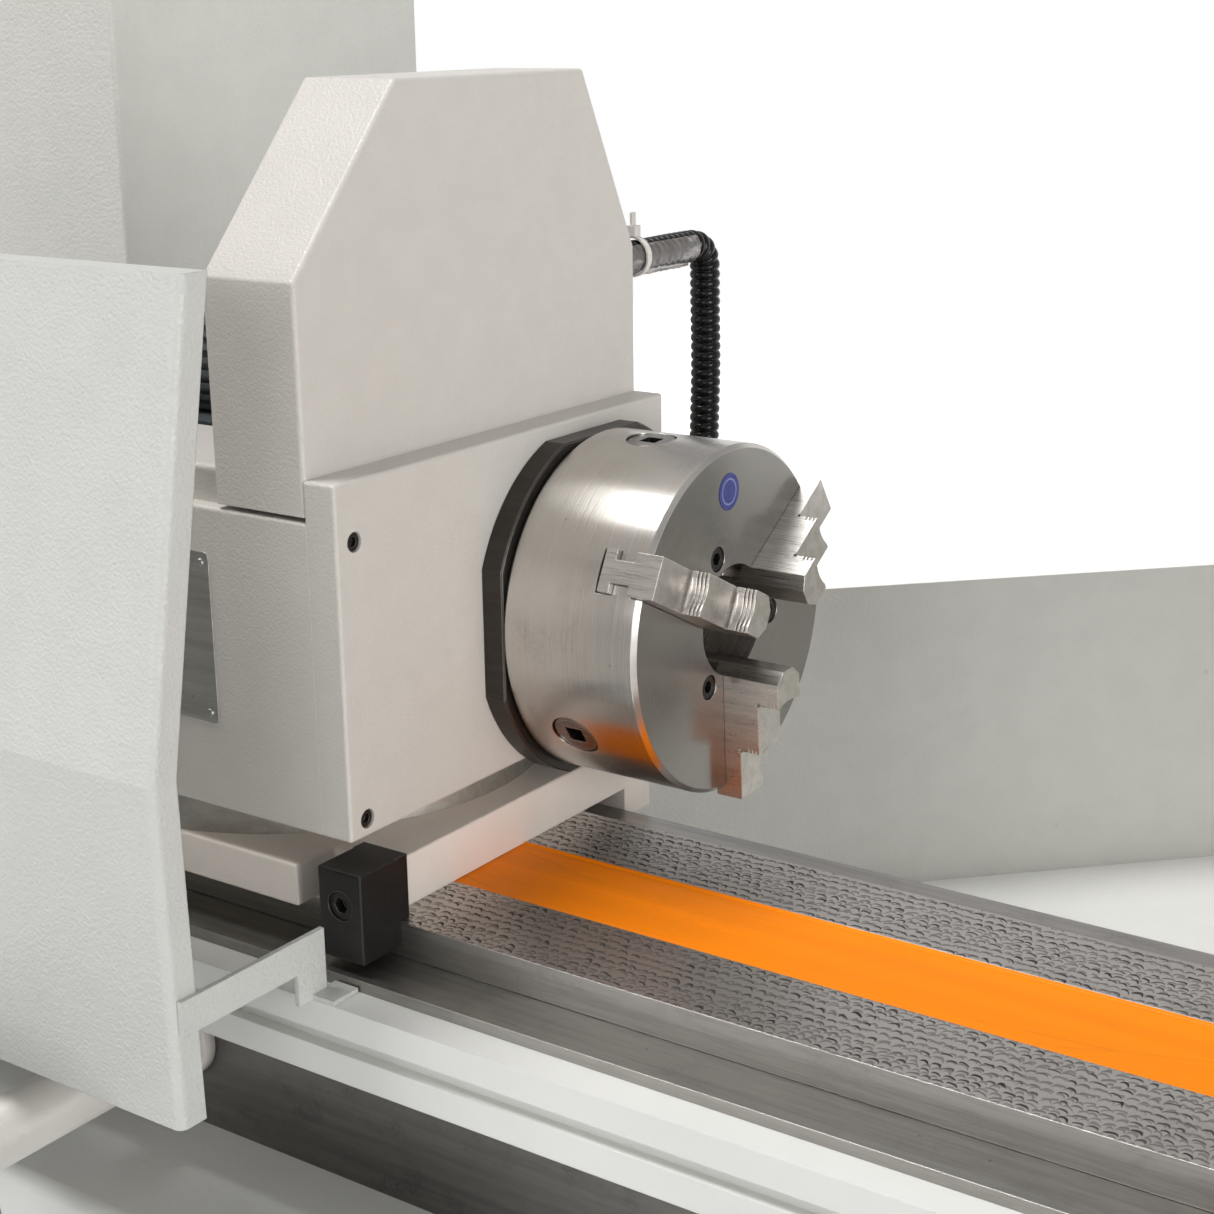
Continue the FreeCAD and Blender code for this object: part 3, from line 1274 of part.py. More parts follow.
def make_wheel_drive():
    """Wheel motor, its shaft with pulley, the belt and its cover."""
    right = wheelhead_right_x - drive_pulley_gap
    left = right - wheel_motor_length
    body = rounded(rod_x(left, right, wheel_motor_radius, wheel_motor_y, wheel_motor_z),
                   drive_cover_edge, lambda edge, p: not straight(edge))
    foot = block(left + drive_pulley_length, right - drive_pulley_length,
                 wheel_motor_y - wheel_motor_foot_width / 2,
                 wheel_motor_y + wheel_motor_foot_width / 2,
                 wheelhead_top_z, wheelhead_top_z + wheel_motor_foot_height)
    web = block(left + drive_pulley_length, right - drive_pulley_length,
                wheel_motor_y - wheel_motor_foot_width / 4,
                wheel_motor_y + wheel_motor_foot_width / 4, wheelhead_top_z, wheel_motor_z)
    motor = join(body, foot, web)
    inner = right - drive_pulley_length
    motor = motor.cut(rod_x(inner, right + overrun, wheel_motor_shaft_radius + running_gap,
                            wheel_motor_y, wheel_motor_z))
    save("wheel_motor", motor)

    shaft = rod_x(inner + seat_gap, drive_pulley_x + drive_pulley_length, wheel_motor_shaft_radius,
                  wheel_motor_y, wheel_motor_z)
    save("wheel_motor_pulley", join(shaft, drive_pulley(wheel_motor_y, wheel_motor_z)))
    belt = belt_loop(drive_pulley_radius, drive_pulley_radius, wheel_motor_y - wheel_axis_y,
                     wheel_motor_z, drive_belt_width, drive_belt_thickness)
    start = drive_pulley_x + (drive_pulley_length - drive_belt_width) / 2
    save("wheel_belt", moved(belt, start, wheel_axis_y, 0))

    reach = drive_pulley_radius + drive_cover_margin
    end = drive_pulley_x + drive_pulley_length + drive_pulley_gap
    low = (wheel_axis_y - reach, -reach)
    high = (wheel_motor_y + reach, wheel_motor_z + reach)
    box = block(wheelhead_right_x, end, low[0], high[0], low[1], high[1])
    box = rounded(box, drive_cover_edge, lambda edge, p: p.x > wheelhead_right_x + overrun)
    wall = drive_cover_wall
    box = box.cut(block(wheelhead_right_x + wall, end - wall, low[0] + wall, high[0] - wall,
                        low[1] + wall, high[1] - wall))
    for y, z, radius in ((wheel_axis_y, 0, wheel_spindle_radius),
                         (wheel_motor_y, wheel_motor_z, wheel_motor_shaft_radius)):
        box = box.cut(rod_x(wheelhead_right_x - overrun, wheelhead_right_x + wall + overrun,
                            radius + wall, y, z))
    save("wheel_belt_cover", box)


def make_feed():
    """Cross-feed screw with its handwheel."""
    screw = rod_y(wheel_front_y - wheel_hub_length / 2, feed_end_y, shaft_radius, feed_x, feed_z)
    save("crossfeed_handwheel", join(hand_wheel(feed_x, feed_z), screw))


def make_tailstock():
    """Tailstock body, quill, centre and lever."""
    right = tail_left_x + tail_length
    waist = tail_head_radius
    outline = [(tail_front_y, table_top_z), (tail_front_y, table_top_z + base_thickness),
               (-waist, -waist), (-waist, 0), (waist, 0), (waist, -waist),
               (tail_rear_y, table_top_z + base_thickness), (tail_rear_y, table_top_z)]
    outline = [(min(y, table_rear_y) if z < 0 and z < table_top_z + 2 * base_thickness else y, z)
               for y, z in outline]
    body = join(prism_x(outline, tail_left_x, right),
                rod_x(tail_left_x, right, tail_head_radius))
    body = body.cut(rod_x(tail_left_x - overrun, right + overrun, quill_radius + running_gap))
    body = body.cut(rod_y(-tail_head_radius - overrun, -tail_head_radius + tail_lever_hub_length,
                          tail_lever_radius + running_gap, tail_lever_x, -tail_head_radius / 2))
    save("tailstock_body", body)

    quill = rod_x(quill_left_x, quill_left_x + quill_length, quill_radius)
    taper = Part.makeCone(tail_centre_radius, tail_centre_radius * tail_taper_share, quill_socket_depth,
                          V(quill_left_x, 0, 0), V(1, 0, 0))
    save("tailstock_quill", quill.cut(taper))
    tip = Part.makeCone(0, tail_centre_radius, tail_centre_radius * math.sqrt(3),
                        V(tail_tip_x, 0, 0), V(1, 0, 0))
    neck = rod_x(tail_tip_x + tail_centre_radius * math.sqrt(3), quill_left_x, tail_centre_radius)
    save("tailstock_centre", join(tip, neck, taper))

    pivot_z = -tail_head_radius / 2
    hub_back = -tail_head_radius - seat_gap
    hub = rod_y(hub_back - tail_lever_hub_length, hub_back, tail_lever_hub_radius,
                tail_lever_x, pivot_z)
    pin = rod_y(hub_back - overrun, -tail_head_radius + tail_lever_hub_length - seat_gap,
                tail_lever_radius, tail_lever_x, pivot_z)
    arm_y = hub_back - tail_lever_hub_length / 2
    arm = rod_z(pivot_z, pivot_z + tail_lever_length, tail_lever_radius, tail_lever_x, arm_y)
    knob = Part.makeSphere(tail_knob_radius, V(tail_lever_x, arm_y, pivot_z + tail_lever_length))
    save("tailstock_lever", join(hub, pin, arm, knob))


def make_panel():
    """Control panel on the bed's front with a start and a stop button."""
    front = bed_front_y - panel_depth
    right = panel_left_x + panel_width
    low = panel_top_z - panel_height
    panel = block(panel_left_x, right, front, bed_front_y, low, panel_top_z)
    panel = rounded(panel, panel_edge_radius, lambda edge, p: p.y < bed_front_y - overrun)
    panel = panel.cut(block(panel_left_x + panel_wall, right - panel_wall, front + panel_wall,
                            bed_front_y - panel_wall, low + panel_wall, panel_top_z - panel_wall))
    middle = (low + panel_top_z) / 2
    places = ((panel_left_x + button_inset, "start_button", button_radius, button_head_length),
              (right - button_inset, "stop_button", stop_radius, stop_head_length))
    for x, node, radius, length in places:
        panel = panel.cut(rod_y(front - overrun, front + panel_wall + overrun,
                                button_stem_radius + running_gap, x, middle))
        face = front - seat_gap - button_travel
        head = rounded(rod_y(face - length, face, radius, x, middle), panel_wall,
                       lambda edge, p: p.y < face - length / 2 and not straight(edge))
        stem = rod_y(face - overrun, front + panel_wall + 2 * button_travel, button_stem_radius,
                     x, middle)
        save(node, join(head, stem))
    save("control_panel", panel)


def hose_path(step):
    """Points and directions along the hose, a plane route of runs and arcs."""
    bend = hose_bend_radius
    near = hose_reach_y - bend
    corner = hose_z - bend
    ending = hose_end_z + bend
    pieces = [("run", V(hose_x, head_rear_y, hose_z), V(0, 1, 0), near - head_rear_y),
              ("arc", V(hose_x, near, corner), math.pi / 2, 0.0),
              ("run", V(hose_x, hose_reach_y, corner), V(0, 0, -1), corner - ending),
              ("arc", V(hose_x, near, ending), 0.0, -math.pi / 2),
              ("run", V(hose_x, near, hose_end_z), V(0, -1, 0), near - head_rear_y)]
    spans = [piece[3] if piece[0] == "run" else bend * math.pi / 2 for piece in pieces]
    total = sum(spans)
    count = round(total / step)
    stations = []
    for k in range(count + 1):
        along = total * k / count
        for piece, span in zip(pieces, spans):
            if along <= span + step / count:
                break
            along -= span
        if piece[0] == "run":
            stations.append((piece[1] + piece[2] * along, piece[2]))
        else:
            angle = piece[2] + (piece[3] - piece[2]) * along / span
            out = V(0, math.cos(angle), math.sin(angle))
            stations.append((piece[1] + out * bend, V(0, math.sin(angle), -math.cos(angle))))
    return stations


def make_hose():
    """Ribbed hose with its clear sleeve and cable tie."""
    fine = hose_pitch_steps
    lands = ((0, hose_radius), (hose_crest_share, hose_radius),
             (hose_crest_share + hose_flank_share, hose_root_radius),
             (1 - hose_flank_share, hose_root_radius))
    stations = hose_path(hose_rib_pitch / fine)
    ribs = len(stations) // fine
    circles = []
    bores = []
    for rib in range(ribs):
        for share, radius in lands:
            place, way = stations[rib * fine + round(share * fine)]
            circles.append(ring_wire(radius, place, way))
        bores.append(ring_wire(hose_bore_radius, *stations[rib * fine]))
    circles.append(ring_wire(hose_root_radius, *stations[-1]))
    bores.append(ring_wire(hose_bore_radius, *stations[-1]))
    hose = Part.makeLoft(circles, True, True).cut(Part.makeLoft(bores, True, True))
    print("hose ribs", ribs, "volume", round(hose.Volume))
    save("motor_hose", hose)

    sleeve = rod_y(sleeve_start_y, sleeve_end_y, hose_radius + seat_gap + sleeve_wall, hose_x, hose_z)
    bore = rod_y(sleeve_start_y - overrun, sleeve_end_y + overrun, hose_radius + seat_gap,
                 hose_x, hose_z)
    save("hose_sleeve", sleeve.cut(bore))

    inner = hose_radius + seat_gap + sleeve_wall
    band = rod_y(tie_y, tie_y + tie_width, inner + tie_thickness, hose_x, hose_z)
    band = band.cut(rod_y(tie_y - overrun, tie_y + tie_width + overrun, inner, hose_x, hose_z))
    top = hose_z + inner + tie_thickness / 2
    head = block(hose_x - tie_head / 2, hose_x + tie_head / 2, tie_y - overrun,
                 tie_y + tie_width + overrun, top, top + tie_head)
    tail = block(hose_x - tie_thickness / 2, hose_x + tie_thickness / 2, tie_y,
                 tie_y + tie_width, top + tie_head, top + tie_head + tie_tail)
    save("cable_tie", join(band, head, tail))


def ring_wire(radius, place, way):
    """A circle whose start lies on the X side, whatever its direction."""
    circle = Part.Circle(place, way, radius)
    circle.XAxis = V(1, 0, 0)
    return Part.Wire(circle.toShape())


os.makedirs("parts", exist_ok=True)
make_chuck()
make_spindle()
make_workhead()
make_drive()
make_swivel_base()
make_table()
make_handwheel()
make_bed()
make_guard()
make_cabinet()
make_hose()
make_wheelhead()
make_wheel_drive()
make_feed()
make_tailstock()
make_panel()
print("shift", floor_shift, "wheel z", wheel_z, "rack pitch", rack_pitch)
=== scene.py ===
"""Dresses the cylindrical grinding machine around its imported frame.

Every sub-assembly is a class that lays finishes on its CAD solids and adds the pieces that the
solids leave out. Sizes are millimetres about the centre of the chuck's face, X out of the chuck,
Y to the rear and Z up, until Datum puts them into the frame in metres.
"""

import json
import logging
import math
from collections.abc import Sequence
from dataclasses import dataclass
from enum import Enum

import bpy
import numpy as np
from mathutils import Matrix, Vector

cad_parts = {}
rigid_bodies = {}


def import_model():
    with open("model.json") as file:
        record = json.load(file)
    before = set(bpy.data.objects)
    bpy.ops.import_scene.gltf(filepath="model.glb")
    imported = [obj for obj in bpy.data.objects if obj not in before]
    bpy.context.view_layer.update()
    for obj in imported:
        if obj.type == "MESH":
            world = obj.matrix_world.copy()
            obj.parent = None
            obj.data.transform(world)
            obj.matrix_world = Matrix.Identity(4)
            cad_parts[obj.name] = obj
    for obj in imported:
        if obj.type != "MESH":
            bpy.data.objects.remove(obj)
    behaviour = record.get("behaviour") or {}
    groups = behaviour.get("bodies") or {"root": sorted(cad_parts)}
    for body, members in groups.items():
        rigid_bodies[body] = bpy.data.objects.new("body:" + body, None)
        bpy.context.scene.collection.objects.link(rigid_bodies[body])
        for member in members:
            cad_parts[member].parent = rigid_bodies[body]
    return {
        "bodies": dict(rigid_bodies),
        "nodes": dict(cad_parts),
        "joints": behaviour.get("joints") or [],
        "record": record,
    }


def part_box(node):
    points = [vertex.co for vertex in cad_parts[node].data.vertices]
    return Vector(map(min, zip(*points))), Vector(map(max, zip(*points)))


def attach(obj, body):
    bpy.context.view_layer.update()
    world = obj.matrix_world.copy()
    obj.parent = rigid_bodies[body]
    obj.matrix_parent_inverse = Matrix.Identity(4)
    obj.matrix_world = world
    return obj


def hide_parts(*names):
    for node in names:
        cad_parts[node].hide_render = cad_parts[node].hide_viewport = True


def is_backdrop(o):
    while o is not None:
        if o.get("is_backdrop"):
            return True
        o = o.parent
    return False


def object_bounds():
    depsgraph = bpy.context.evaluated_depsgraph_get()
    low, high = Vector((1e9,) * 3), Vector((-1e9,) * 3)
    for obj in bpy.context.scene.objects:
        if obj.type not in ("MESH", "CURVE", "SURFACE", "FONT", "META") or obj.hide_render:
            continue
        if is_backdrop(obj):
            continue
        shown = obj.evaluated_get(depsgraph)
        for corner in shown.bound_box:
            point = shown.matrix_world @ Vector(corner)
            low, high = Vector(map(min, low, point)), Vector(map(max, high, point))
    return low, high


LOG = logging.getLogger("grinder")
MM = 0.001
FULL_TURN = 2 * math.pi
COLOUR_FACTOR, COLOUR_A, COLOUR_B, COLOUR_OUT = 0, 6, 7, 2
CAMERA_FRAME_MM = 36
ACROSS_THE_RINGS = 0.25

ENAMEL_SPOT = (96, 88, 78)
OIL_STAIN = (64, 62, 60)
RUST_SPOT = (70, 58, 48)
TURNED_EDGE = (226, 224, 220)
GREASE_SPOT = (74, 62, 52)
GROUND_EDGE = (214, 210, 204)
SCRAPED_EDGE = (206, 203, 198)
SCRAPED_FACE = (190, 185, 180)
SCRAPED_MARK = (52, 50, 50)
TAPE_FOLD = (206, 200, 196)
TAPE_FREE_EDGE = (214, 207, 203)
WHEEL_PORE = (84, 82, 84)
PAINT_CHIP = (60, 40, 28)
LABEL_RING = (170, 178, 214)


def linear(colour: Sequence[float]) -> tuple[float, float, float, float]:
    """Turns an sRGB colour of 0 to 255 into linear light, c^2.4 above its short straight part."""
    shares = [value / 255 for value in colour]
    light = [s / 12.92 if s <= 0.04045 else ((s + 0.055) / 1.055) ** 2.4 for s in shares]
    return (light[0], light[1], light[2], 1.0)


def shade(light: Sequence[float], share: float) -> tuple[float, ...]:
    """Scales a linear colour by a share and holds it at 1."""
    return tuple(min(1.0, value * share) for value in light)


class Axis(Enum):
    """A direction that a turned piece spins about or a brushed grain runs along."""

    X = 0
    Y = 1
    Z = 2


@dataclass(frozen=True)
class Datum:
    """Where the centre of the chuck's face lies in the frame, in metres."""

    x: float
    y: float
    z: float

    @classmethod
    def read(cls) -> "Datum":
        """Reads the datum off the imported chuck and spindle.

        Returns:
            The datum of this pack.
        """
        low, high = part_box("workhead_spindle")
        return cls(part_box("chuck_body")[1].x, (low.y + high.y) / 2, (low.z + high.z) / 2)

    def place(self, points: np.ndarray) -> np.ndarray:
        """Moves points from millimetres about the chuck's face to metres in the frame.

        Args:
            points: An array whose last axis holds x, y and z.

        Returns:
            An array of the same shape.
        """
        return np.asarray(points, float) * MM + np.array((self.x, self.y, self.z))

    def local(self, node: str) -> tuple[np.ndarray, np.ndarray]:
        """Gives a CAD node's box in millimetres about the chuck's face.

        Args:
            node: The node's name.

        Returns:
            The lowest and the highest corner.
        """
        low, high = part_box(node)
        origin = np.array((self.x, self.y, self.z))
        return (np.array(low) - origin) / MM, (np.array(high) - origin) / MM


class Graph:
    """Adds nodes and links to one node tree."""

    def __init__(self, tree: bpy.types.NodeTree) -> None:
        """Keeps the tree that the nodes go into.

        Args:
            tree: A material's or a group's node tree.
        """
        self.tree = tree

    def add(self, kind: str, inputs: dict | None = None, **settings: object) -> bpy.types.Node:
        """Adds one node.

        Args:
            kind: The node's type.
            inputs: Values or output sockets for its inputs, by name or number.
            settings: Attributes of the node.

        Returns:
            The node.
        """
        node = self.tree.nodes.new(kind)
        for name, value in settings.items():
            setattr(node, name, value)
        for key, value in (inputs or {}).items():
            self.feed(node, key, value)
        return node

    def feed(self, node: bpy.types.Node, key: str | int, value: object) -> None:
        """Links an output to one of a node's inputs, or sets that input to a plain value."""
        if isinstance(value, bpy.types.NodeSocket):
            self.tree.links.new(value, node.inputs[key])
        else:
            node.inputs[key].default_value = value

    def math(self, operation: str, first: object, second: object = 0.0) -> bpy.types.NodeSocket:
        """Adds a Math node and returns its output."""
        return self.add("ShaderNodeMath", {0: first, 1: second}, operation=operation).outputs[0]

    def times(self, first: object, second: object) -> bpy.types.NodeSocket:
        """Multiplies two values and returns the product."""
        return self.math("MULTIPLY", first, second)

    def vector(self, operation: str, first: object, second: object = None,
               output: str = "Vector") -> bpy.types.NodeSocket:
        """Adds a Vector Math node and returns the named output."""
        inputs = {0: first} if second is None else {0: first, 1: second}
        return self.add("ShaderNodeVectorMath", inputs, operation=operation).outputs[output]

    def spread(self, value: object, low: float, high: float, start: float = 0.0,
               end: float = 1.0) -> bpy.types.NodeSocket:
        """Maps low..high onto start..end, held at both ends, and returns the output."""
        node = self.add("ShaderNodeMapRange", {"Value": value, "From Min": low,
                                               "From Max": high, "To Min": start,
                                               "To Max": end}, interpolation_type="SMOOTHSTEP")
        return node.outputs["Result"]

    def mix(self, share: object, low: object, high: object) -> bpy.types.NodeSocket:
        """Mixes two colours by a share and returns the colour."""
        node = self.add("ShaderNodeMix", {COLOUR_FACTOR: share, COLOUR_A: low, COLOUR_B: high},
                        data_type="RGBA")
        return node.outputs[COLOUR_OUT]

    def noise(self, vector: object, scale: object, detail: float = 2.0,
              roughness: float = 0.5) -> bpy.types.NodeSocket:
        """Adds a Noise texture and returns its factor."""
        node = self.add("ShaderNodeTexNoise", {"Vector": vector, "Scale": scale,
                                               "Detail": detail, "Roughness": roughness})
        return node.outputs["Fac"]

    def split(self, vector: object) -> tuple:
        """Takes a vector apart and returns its three outputs."""
        node = self.add("ShaderNodeSeparateXYZ", {0: vector})
        return tuple(node.outputs)

    def combine(self, x: object, y: object, z: object) -> bpy.types.NodeSocket:
        """Puts three values together into a vector."""
        return self.add("ShaderNodeCombineXYZ", {0: x, 1: y, 2: z}).outputs[0]

    def place(self) -> bpy.types.NodeSocket:
        """Adds object coordinates and returns them."""
        return self.add("ShaderNodeTexCoord").outputs["Object"]

    def group(self, effect: "Effect", **inputs: object) -> bpy.types.Node:
        """Places one of the shared effects with its own values."""
        node = self.add("ShaderNodeGroup", node_tree=effect.tree())
        for name, value in inputs.items():
            self.feed(node, name.capitalize(), value)
        return node


class Effect(Enum):
    """The shared surface effects, each one a node group that is built once."""

    PEBBLES = "enamel_pebbles"
    EDGE = "soft_edge"
    LINES = "fine_lines"
    SOILING = "soiling"
    SPECKS = "specks"
    SCRAPING = "scraped_crescents"

    def tree(self) -> bpy.types.NodeTree:
        """Returns the effect's node group, made at its first use."""
        if self.value in bpy.data.node_groups:
            return bpy.data.node_groups[self.value]
        tree = bpy.data.node_groups.new(self.value, "ShaderNodeTree")
        make = {Effect.PEBBLES: pebbles, Effect.EDGE: soft_edge, Effect.LINES: fine_lines,
                Effect.SOILING: soiling, Effect.SPECKS: specks, Effect.SCRAPING: scraping}
        make[self](tree)
        return tree


def sockets(tree: bpy.types.NodeTree, inputs: dict, outputs: dict) -> tuple:
    """Gives a group its named inputs and outputs.

    Args:
        tree: The group.
        inputs: Default values by name; None stands for a vector.
        outputs: Socket kinds by name.

    Returns:
        The graph, the group's input node and its output node.
    """
    for name, value in inputs.items():
        kind = "NodeSocketVector" if value is None else "NodeSocketFloat"
        socket = tree.interface.new_socket(name, in_out="INPUT", socket_type=kind)
        if value is not None:
            socket.default_value = value
    for name, kind in outputs.items():
        tree.interface.new_socket(name, in_out="OUTPUT", socket_type="NodeSocket" + kind)
    graph = Graph(tree)
    return graph, graph.add("NodeGroupInput"), graph.add("NodeGroupOutput")


def pebbles(tree: bpy.types.NodeTree) -> None:
    """Fills the group for orange-peel enamel: rounded cells laid over a finer noise.

    Args:
        tree: The empty group.
    """
    graph, given, result = sockets(tree, {"Vector": None, "Size": 0.0017},
                                   {"Height": "Float", "Tone": "Float"})
    fine = graph.math("DIVIDE", 1.0, given.outputs["Size"])
    cells = graph.add("ShaderNodeTexVoronoi", {"Vector": given.outputs["Vector"], "Scale": fine,
                                               "Smoothness": 0.8}, feature="SMOOTH_F1")
    waves = graph.noise(given.outputs["Vector"], graph.times(fine, 0.6), 3.0, 0.6)
    broad = graph.noise(given.outputs["Vector"], graph.times(fine, 0.06), 2.0)
    domes = graph.spread(cells.outputs["Distance"], 0.1, 0.8, 1.0, 0.0)
    height = graph.math("ADD", graph.times(domes, 0.45), waves)
    graph.feed(result, "Height", height)
    graph.feed(result, "Tone", graph.spread(broad, 0.3, 0.7))


def soft_edge(tree: bpy.types.NodeTree) -> None:
    """Fills the group that rounds a sharp edge for the light and says how near it is.

    Args:
        tree: The empty group.
    """
    graph, given, result = sockets(tree, {"Radius": 0.0012}, {"Normal": "Vector", "Wear": "Float"})
    bevel = graph.add("ShaderNodeBevel", {"Radius": given.outputs["Radius"]}, samples=4)
    flat = graph.add("ShaderNodeNewGeometry").outputs["Normal"]
    facing = graph.vector("DOT_PRODUCT", bevel.outputs["Normal"], flat, "Value")
    graph.feed(result, "Normal", bevel.outputs["Normal"])
    graph.feed(result, "Wear", graph.spread(facing, 0.99, 0.88))


def fine_lines(tree: bpy.types.NodeTree) -> None:
    """Fills the group for a ground or brushed grain: noise drawn out along one way.

    Args:
        tree: The empty group.
    """
    graph, given, result = sockets(tree, {"Vector": None, "Pitch": 0.0004, "Length": 0.03},
                                   {"Height": "Float", "Tone": "Float"})
    x, y, z = graph.split(given.outputs["Vector"])
    along = graph.math("DIVIDE", x, given.outputs["Length"])
    across_y = graph.math("DIVIDE", y, given.outputs["Pitch"])
    across_z = graph.math("DIVIDE", z, given.outputs["Pitch"])
    stretched = graph.combine(along, across_y, across_z)
    lines = graph.noise(stretched, 1.0, 3.0, 0.65)
    bands = graph.noise(stretched, 0.11, 2.0, 0.5)
    graph.feed(result, "Height", lines)
    both = graph.times(graph.math("ADD", lines, bands), 0.5)
    graph.feed(result, "Tone", graph.spread(both, 0.38, 0.62))


def soiling(tree: bpy.types.NodeTree) -> None:
    """Fills the group for handling marks: broad patches broken up by a finer noise.

    Args:
        tree: The empty group.
    """
    graph, given, result = sockets(tree, {"Vector": None, "Reach": 0.06}, {"Mask": "Float"})
    scale = graph.math("DIVIDE", 1.0, given.outputs["Reach"])
    patches = graph.noise(given.outputs["Vector"], scale, 4.0, 0.6)
    grit = graph.noise(given.outputs["Vector"], graph.times(scale, 14.0), 4.0, 0.7)
    mask = graph.times(graph.spread(patches, 0.48, 0.72), graph.spread(grit, 0.3, 0.7))
    graph.feed(result, "Mask", mask)


def specks(tree: bpy.types.NodeTree) -> None:
    """Fills the group for scattered small marks: the cores of a few random cells.

    Args:
        tree: The empty group.
    """
    graph, given, result = sockets(tree, {"Vector": None, "Spacing": 0.012, "Share": 0.15},
                                   {"Mask": "Float"})
    bend = graph.add("ShaderNodeTexNoise", {"Vector": given.outputs["Vector"], "Scale": 900.0})
    shift = graph.vector("MULTIPLY", bend.outputs["Color"], (0.0015, 0.0015, 0.0015))
    moved = graph.vector("ADD", given.outputs["Vector"], shift)
    scale = graph.math("DIVIDE", 1.0, given.outputs["Spacing"])
    cells = graph.add("ShaderNodeTexVoronoi", {"Vector": moved, "Scale": scale})
    red = graph.split(cells.outputs["Color"])[0]
    chosen = graph.math("LESS_THAN", red, given.outputs["Share"])
    core = graph.spread(cells.outputs["Distance"], 0.14, 0.05)
    graph.feed(result, "Mask", graph.times(chosen, core))


def scraping(tree: bpy.types.NodeTree) -> None:
    """Fills the group for hand scraping: in each staggered cell a disc less a shifted disc.

    Args:
        tree: The empty group.
    """
    graph, given, result = sockets(tree, {"Vector": None, "Width": 0.0075, "Depth": 0.0055},
                                   {"Mask": "Float", "Tone": "Float"})
    wander = graph.add("ShaderNodeTexNoise", {"Vector": given.outputs["Vector"], "Scale": 90.0,
                                              "Detail": 1.0})
    shift = graph.vector("SCALE", graph.vector("SUBTRACT", wander.outputs["Color"],
                                               (0.5, 0.5, 0.5)))
    shift.node.inputs["Scale"].default_value = 0.006
    x, y, _ = graph.split(graph.vector("ADD", given.outputs["Vector"], shift))
    v = graph.math("DIVIDE", y, given.outputs["Depth"])
    row = graph.math("FLOOR", v)
    u = graph.math("ADD", graph.math("DIVIDE", x, given.outputs["Width"]), graph.times(row, 0.5))
    column = graph.math("FLOOR", u)
    chance = graph.add("ShaderNodeTexWhiteNoise", {"Vector": graph.combine(column, row, 0.0)},
                       noise_dimensions="3D")
    own = graph.split(chance.outputs["Color"])
    side = graph.math("ADD", graph.math("SUBTRACT", graph.math("FRACT", u), 0.5),
                      graph.times(graph.math("SUBTRACT", own[0], 0.5), 0.24))
    rise = graph.math("ADD", graph.math("SUBTRACT", graph.math("FRACT", v), 0.5),
                      graph.times(graph.math("SUBTRACT", own[1], 0.5), 0.2))
    lean = graph.math("ADD", rise, graph.times(side, graph.times(
        graph.math("SUBTRACT", own[2], 0.5), 0.7)))
    disc = graph.vector("LENGTH", graph.combine(side, graph.times(lean, 0.9), 0.0), output="Value")
    bite = graph.vector("LENGTH", graph.combine(graph.times(side, 0.9),
                                                graph.math("ADD", lean, 0.24), 0.0),
                        output="Value")
    mask = graph.times(graph.spread(disc, 0.47, 0.38), graph.spread(bite, 0.36, 0.48))
    graph.feed(result, "Mask", mask)
    graph.feed(result, "Tone", own[2])


@dataclass(frozen=True)
class Finish:
    """What every finish shares: a name, a colour and a gloss, made into one material.

    Attributes:
        name: The material's name.
        colour: sRGB colour of 0 to 255.
        roughness: Roughness between its marks.
    """

    name: str
    colour: tuple[float, float, float]
    roughness: float = 0.45

    def material(self) -> bpy.types.Material:
        """Returns the finish's material, made at its first use.

        No finish may be called as one of the record's slots, which come with the frame as
        materials of those names.
        """
        if self.name in bpy.data.materials:
            return bpy.data.materials[self.name]
        made = bpy.data.materials.new(self.name)
        made.use_nodes = True
        made.node_tree.nodes.clear()
        graph = Graph(made.node_tree)
        shader = graph.add("ShaderNodeBsdfPrincipled")
        graph.feed(shader, "Roughness", self.roughness)
        output = graph.add("ShaderNodeOutputMaterial")
        made.node_tree.links.new(shader.outputs["BSDF"], output.inputs["Surface"])
        self.paint(graph, shader)
        return made

    def paint(self, graph: Graph, shader: bpy.types.Node) -> None:
        """Adds the finish's own nodes; each finish has its own."""
        raise NotImplementedError

    def relief(self, graph: Graph, shader: bpy.types.Node, height: object, depth: float,
               edge: bpy.types.Node | None = None) -> None:
        """Turns a height into the shader's normal.

        Args:
            graph: The material's graph.
            shader: Its principled shader.
            height: The height's output, 0 to 1.
            depth: What 1 stands for, in metres.
            edge: A soft edge whose normal the bump starts from.
        """
        bump = graph.add("ShaderNodeBump", {"Height": height, "Distance": depth})
        if edge is not None:
            graph.tree.links.new(edge.outputs["Normal"], bump.inputs["Normal"])
        graph.tree.links.new(bump.outputs["Normal"], shader.inputs["Normal"])

    def dress(self, *nodes: str) -> None:
        """Puts the material into every slot of these CAD nodes.

        Args:
            nodes: Node names.
        """
        for name in nodes:
            piece = FRAME["nodes"][name]
            for place in piece.material_slots:
                place.material = self.material()
            if not piece.material_slots:
                piece.data.materials.append(self.material())


